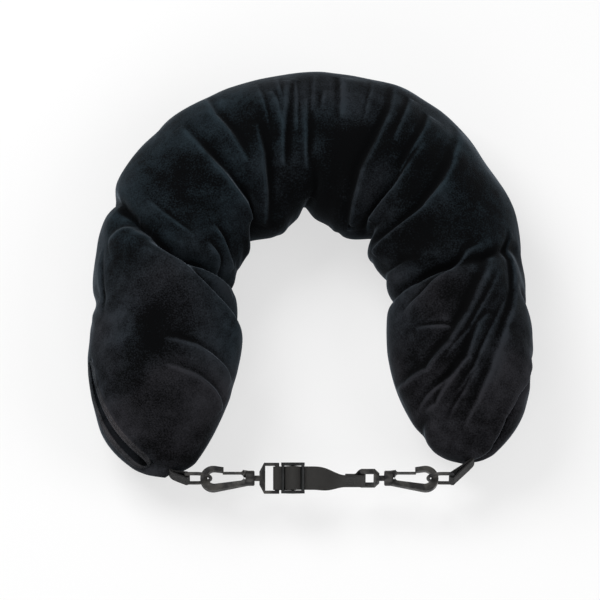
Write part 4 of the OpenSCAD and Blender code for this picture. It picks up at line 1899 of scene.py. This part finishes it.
@dataclass
class Studio:
    """Plain pale floor, soft lights and the camera at the photograph's angle."""

    elevation: float = 70.0
    distance: float = 8.0
    field_width: float = 0.510
    target: tuple = (-0.0089, -0.0183, 0.057)
    sensor: float = 36.0
    floor_size: float = 6.0
    floor_tone: tuple = (0.90, 0.90, 0.90, 1.0)
    floor_glow: float = 0.6
    ambient: float = 0.30
    lit_point: tuple = (0.0, 0.0, 0.05)

    def build(self) -> None:
        """Sets up the view, the floor and the lights."""
        scene = bpy.context.scene
        scene.view_settings.view_transform = "Standard"
        self.camera()
        self.floor()
        self.world()
        self.lamp("key", (-0.9, 0.8, 1.5), 1.1, 26.0)
        self.lamp("fill", (1.3, -0.3, 1.2), 1.2, 10.0)
        self.lamp("front", (-0.2, -1.5, 1.0), 1.2, 9.0)

    def camera(self) -> None:
        """Places the camera on the open side of the U, looking down."""
        data = bpy.data.cameras.new("camera")
        data.sensor_width = self.sensor
        data.lens = self.sensor * self.distance / self.field_width
        camera = add_object("camera", data)
        up = math.radians(self.elevation)
        target = Vector(self.target)
        camera.location = target + Vector((0, -math.cos(up), math.sin(up))) * self.distance
        camera.rotation_euler = (target - camera.location).to_track_quat("-Z", "Y").to_euler()
        bpy.context.scene.camera = camera

    def floor(self) -> None:
        """Lays a large floor that looks white to the camera and keeps a faint shadow."""
        size = self.floor_size
        corners = np.array([(-size, -size, 0), (size, -size, 0), (size, size, 0), (-size, size, 0)])
        floor = add_mesh("studio_floor", corners, [(0, 1, 2, 3)])
        t = NodeTree("studio_floor")
        t.set(Base_Color=self.floor_tone, Roughness=0.9, Specular_IOR_Level=0.1)
        seen = t.node("ShaderNodeLightPath").outputs["Is Camera Ray"]
        mix = t.node("ShaderNodeMixShader")
        t.link(t.math("MULTIPLY", seen, self.floor_glow), mix.inputs["Fac"])
        t.link(t.shader.outputs["BSDF"], mix.inputs[1])
        t.link(t.node("ShaderNodeEmission", Strength=1.0).outputs["Emission"], mix.inputs[2])
        t.link(mix.outputs["Shader"], t.tree.nodes["Material Output"].inputs["Surface"])
        floor.data.materials.append(t.material)

    def world(self) -> None:
        """Lights the studio evenly, with a white background for the camera and for reflections."""
        world = bpy.data.worlds.new("studio")
        bpy.context.scene.world = world
        world.use_nodes = True
        tree = world.node_tree
        background = tree.nodes["Background"]
        path = tree.nodes.new("ShaderNodeLightPath")
        seen = path.outputs["Is Camera Ray"]
        for ray in ("Is Glossy Ray", "Is Transmission Ray"):
            either = tree.nodes.new("ShaderNodeMath")
            either.operation = "MAXIMUM"
            tree.links.new(seen, either.inputs[0])
            tree.links.new(path.outputs[ray], either.inputs[1])
            seen = either.outputs[0]
        level = tree.nodes.new("ShaderNodeMapRange")
        level.inputs["To Min"].default_value = self.ambient
        level.inputs["To Max"].default_value = 1.0
        tree.links.new(seen, level.inputs["Value"])
        tree.links.new(level.outputs["Result"], background.inputs["Strength"])
        background.inputs["Color"].default_value = (1.0, 1.0, 1.0, 1.0)

    def lamp(self, name: str, place_at: tuple, size: float, watts: float) -> None:
        """Adds a soft square lamp that faces the pillow.

        Args:
            name: name of the lamp.
            place_at: its place.
            size: length of its side.
            watts: its power.
        """
        data = bpy.data.lights.new(name, "AREA")
        data.size = size
        data.energy = watts
        lamp = add_object(name, data)
        lamp.location = place_at
        aim = Vector(self.lit_point) - lamp.location
        lamp.rotation_euler = aim.to_track_quat("-Z", "Y").to_euler()


# Places where the stuffing bunches or goes slack, from the left tip round to the right tip
LOBES = (
    Spot(-333, 352, 10.0, 34.0),
    Spot(-255, 175, 6.0, 45.0),
    Spot(-195, 10, -5.0, 50.0),
    Spot(-135, 170, 4.0, 30.0),
    Spot(-60, 175, 11.0, 28.0, 50.0),
    Spot(52, 25, 4.0, 18.0),
    Spot(57, 175, 12.0, 34.0, 50.0),
    Spot(122, 15, -4.0, 18.0),
    Spot(148, 170, 11.0, 30.0),
    Spot(185, 15, -9.0, 38.0),
    Spot(318, 5, 7.0, 34.0),
)

# Places where the pile is brushed light, or lies dark where the amount is below 0, from left to right.
# Many are painted light: painted sheen along the rims and ends of the arms, and painted shade in dents and
# between ridges
NAP_AND_PAINTED_LIGHT = (
    Spot(-350, 30, 1.4, 24.0, 40.0),
    Spot(-325, 15, 1.8, 45.0, 30.0),
    Spot(-322, 78, -0.7, 35.0, 30.0),
    Spot(-318, 85, -0.6, 26.0, 25.0),
    Spot(-290, 30, 0.6, 50.0, 30.0),
    Spot(-262, 62, 1.3, 22.0, 14.0),
    # painted shade on the top of the left arm
    Spot(-258, 88, -1.7, 26.0, 26.0),
    Spot(-250, 58, 2.0, 26.0, 18.0),
    # painted sheen along the left arm's inner rim
    Spot(-245, 166, 3.0, 50.0, 35.0),
    Spot(-195, 30, 1.1, 35.0, 25.0),
    Spot(-150, 75, -1.0, 18.0, 22.0),
    Spot(-150, 5, -1.6, 22.0, 20.0),
    Spot(-120, 128, 0.6, 35.0, 20.0),
    Spot(-118, 38, 1.1, 24.0, 28.0),
    Spot(-75, 12, -0.8, 30.0, 22.0),
    Spot(-60, 47, 1.7, 16.0, 20.0),
    Spot(-48, 115, -0.8, 30.0, 30.0),
    Spot(-42, 50, 1.2, 12.0, 18.0),
    Spot(-12, 32, -1.2, 34.0, 30.0),
    Spot(0, 165, -0.6, 110.0, 35.0),
    Spot(18, 172, -1.8, 25.0, 22.0),
    Spot(20, 115, -0.7, 60.0),
    Spot(32, 76, 1.2, 14.0, 20.0),
    Spot(46, 112, -2.4, 24.0, 28.0),
    Spot(50, 106, -0.9, 16.0, 20.0),
    Spot(60, 30, 0.4, 40.0, 30.0),
    Spot(85, 12, -0.8, 40.0, 22.0),
    Spot(110, 50, 1.2, 24.0, 26.0),
    Spot(118, 98, -1.0, 16.0, 18.0),
    Spot(152, 105, -1.0, 28.0, 28.0),
    Spot(195, 12, 1.2, 40.0, 20.0),
    Spot(228, 95, -1.9, 22.0, 25.0),
    # painted sheen along the right arm's inner rim
    Spot(228, 150, 2.3, 28.0, 26.0),
    Spot(245, 150, 0.9, 24.0, 22.0),
    Spot(276, 8, 0.9, 24.0, 15.0),
    # painted shade between the ridges of the right arm
    Spot(282, 98, -1.9, 26.0, 22.0),
    Spot(288, 60, 2.2, 34.0, 15.0),
    Spot(288, 15, 2.0, 42.0, 18.0),
    Spot(305, 112, -0.8, 22.0, 22.0),
    # painted shade in the dark band along the groove near the right tip
    Spot(326, 17, -1.6, 28.0, 9.0),
    Spot(335, 120, 1.5, 26.0, 45.0),
)

# Folds of the left arm, from the zip's end towards the back
LEFT_FOLDS = (
    Fold(((-290, 95), (-297, 122), (-305, 145), (-314, 168)), 3.0, 9.0),
    Fold(((-268, 95), (-273, 120), (-283, 145), (-292, 168)), 3.0, 9.0),
    Fold(((-184, 28), (-210, 32), (-242, 36)), 2.0, 7.0),
    Fold(((-196, 105), (-196, 121), (-206, 143), (-218, 162)), 3.0, 7.0),
    Fold(((-182, 40), (-175, 62), (-180, 78), (-198, 97), (-216, 116), (-231, 136), (-243, 158),
          (-252, 185)), 6.0, 16.0),
    Fold(((-143, -15), (-148, 15), (-152, 35), (-166, 60), (-181, 80), (-192, 105), (-197, 130), (-200, 158),
          (-202, 190), (-202, 215)), 6.0, 6.0, Press.GROOVE),
    Fold(((-168, 125), (-178, 138), (-200, 153), (-208, 168)), 3.0, 7.0),
    Fold(((-146, 125), (-155, 138), (-172, 152), (-180, 165)), 3.0, 7.0),
    Fold(((-91, 50), (-96, 88), (-98, 112), (-100, 140), (-105, 172)), 4.0, 11.0),
    Fold(((-66, 30), (-70, 65), (-68, 90), (-68, 112)), 3.5, 10.0),
)

# Radial folds over the back
BACK_FOLDS = (
    Fold(((-45, 85), (-50, 110), (-62, 135), (-85, 168)), 3.5, 10.0),
    Fold(((-27, 60), (-25, 75), (-24, 92)), 2.0, 6.0),
    Fold(((-13, 45), (-18, 75), (-26, 105), (-32, 125)), 3.5, 8.0),
    Fold(((-3, 70), (-4, 100), (-6, 130)), 2.5, 8.0),
    Fold(((-7, 160), (-8, 185), (-8, 210), (-8, 235)), 5.0, 7.0, Press.GROOVE),
    Fold(((-105, 152), (-107, 170), (-108, 192), (-108, 220)), 6.0, 7.0, Press.GROOVE),
    Fold(((10, 60), (9, 82)), 1.5, 6.0),
    Fold(((19, 35), (22, 60), (26, 88)), 3.0, 8.0),
)

# Fine pleats between the main folds
PLEATS = (
    Fold(((-160, 35), (-166, 55), (-176, 75), (-186, 95)), 1.5, 5.0),
    Fold(((-150, 70), (-160, 95), (-168, 115)), 1.3, 5.0),
    Fold(((-34, 40), (-34, 70), (-36, 95)), 1.2, 4.0),
    Fold(((-20, 35), (-21, 60), (-22, 85)), 1.2, 4.0),
    Fold(((-9, 40), (-10, 70), (-12, 100)), 1.3, 4.0),
    Fold(((2, 35), (2, 60), (1, 85)), 1.1, 4.0),
    Fold(((38, 30), (41, 60), (44, 85)), 1.2, 4.0),
    Fold(((205, 60), (235, 72), (262, 84), (285, 104)), 1.5, 5.0),
    Fold(((225, 52), (258, 66), (290, 78), (312, 95)), 1.5, 5.0),
    Fold(((290, 75), (310, 88), (330, 108)), 1.3, 4.5),
)

# Folds of the right arm, from the back towards its tip
RIGHT_FOLDS = (
    Fold(((50, 25), (60, 70), (62, 97), (61, 120), (68, 143), (83, 175)), 4.0, 10.0),
    Fold(((64, 40), (69, 65), (74, 92)), 2.5, 7.0),
    Fold(((80, 45), (86, 65), (91, 85), (95, 108)), 3.0, 8.0),
    Fold(((94, 78), (101, 103), (104, 128), (99, 155), (100, 182)), 3.0, 9.0),
    Fold(((97, 25), (113, 62), (129, 87), (142, 110), (149, 140), (152, 165)), 4.5, 11.0),
    Fold(((183, 70), (190, 84), (212, 104), (229, 121), (240, 140)), 3.0, 9.0),
    Fold(((203, 100), (207, 112), (213, 130), (216, 160)), 3.0, 8.0),
    Fold(((185, 50), (195, 64), (222, 75), (246, 83), (272, 98), (291, 120), (297, 150), (297, 175)),
         4.5, 12.0),
    Fold(((245, 68), (256, 76), (283, 84), (299, 98), (317, 118), (322, 140)), 3.5, 9.0),
    Fold(((293, 92), (299, 100), (309, 122), (320, 148)), 3.0, 8.0),
    Fold(((170, 30), (186, 38), (220, 43), (262, 55), (292, 63), (315, 72), (338, 88)), 3.5, 10.0),
    Fold(((258, 95), (257, 110), (256, 128)), 2.0, 6.0),
    Fold(((101, 152), (104, 170), (105, 192), (105, 220)), 6.0, 7.0, Press.GROOVE),
    Fold(((180, 15), (182, 38), (190, 62), (198, 90), (204, 110), (212, 130), (214, 160), (214, 190),
          (214, 215)), 6.0, 6.0, Press.GROOVE),
    Fold(((322, 125), (326, 150), (330, 180), (332, 210)), 4.0, 6.0, Press.GROOVE),
    Fold(((352, 16), (340, 29), (322, 35), (304, 29), (284, 14), (266, 3)), 3.0, 6.0),
    Fold(((264, -4), (285, 8), (304, 23), (322, 29), (340, 23), (353, 9)), 5.0, 3.2, Press.GROOVE),
)


# Places of each tab in plan: the ring's bar, where the tab meets the tip, and its end inside the tip
TABS = {
    Side.LEFT: ((-0.105, -0.17195), (-0.117, -0.16855), (-0.120, -0.1635)),
    Side.RIGHT: ((0.120, -0.17195), (0.136, -0.15855), (0.138, -0.1545)),
}


def main() -> None:
    """Builds the object piece by piece."""
    logging.basicConfig(level=logging.INFO, format="%(message)s")
    Studio().build()
    finishes = Finishes()
    VelvetCover(folds=LEFT_FOLDS + BACK_FOLDS + PLEATS + RIGHT_FOLDS, lobes=LOBES, nap=NAP_AND_PAINTED_LIGHT).build(finishes)
    ZipDressing().build(finishes)
    Strap().build(finishes)
    for side, places in TABS.items():
        Tab(side, *places).build(finishes)
    for side in (arm.name.lower() for arm in Side):
        MouldedPart(side + "_ring", Body(side + "_ring"), "ring_plastic", 0.2 * MM).build(finishes.ring)
        MouldedPart(side + "_hook", Body(side + "_hook"), "hook_plastic", 0.7 * MM).build(finishes.hook)
        MouldedPart(side + "_gate", Body(side + "_gate"), "hook_plastic", 0.3 * MM).build(finishes.hook)
        MouldedPart(side + "_frame", Body.STRAP, "hook_plastic", 0.6 * MM).build(finishes.hook)
    MouldedPart("strap_adjuster", Body.ADJUSTER, "hook_plastic", 0.4 * MM).build(finishes.adjuster)


if __name__ == "__main__":
    main()
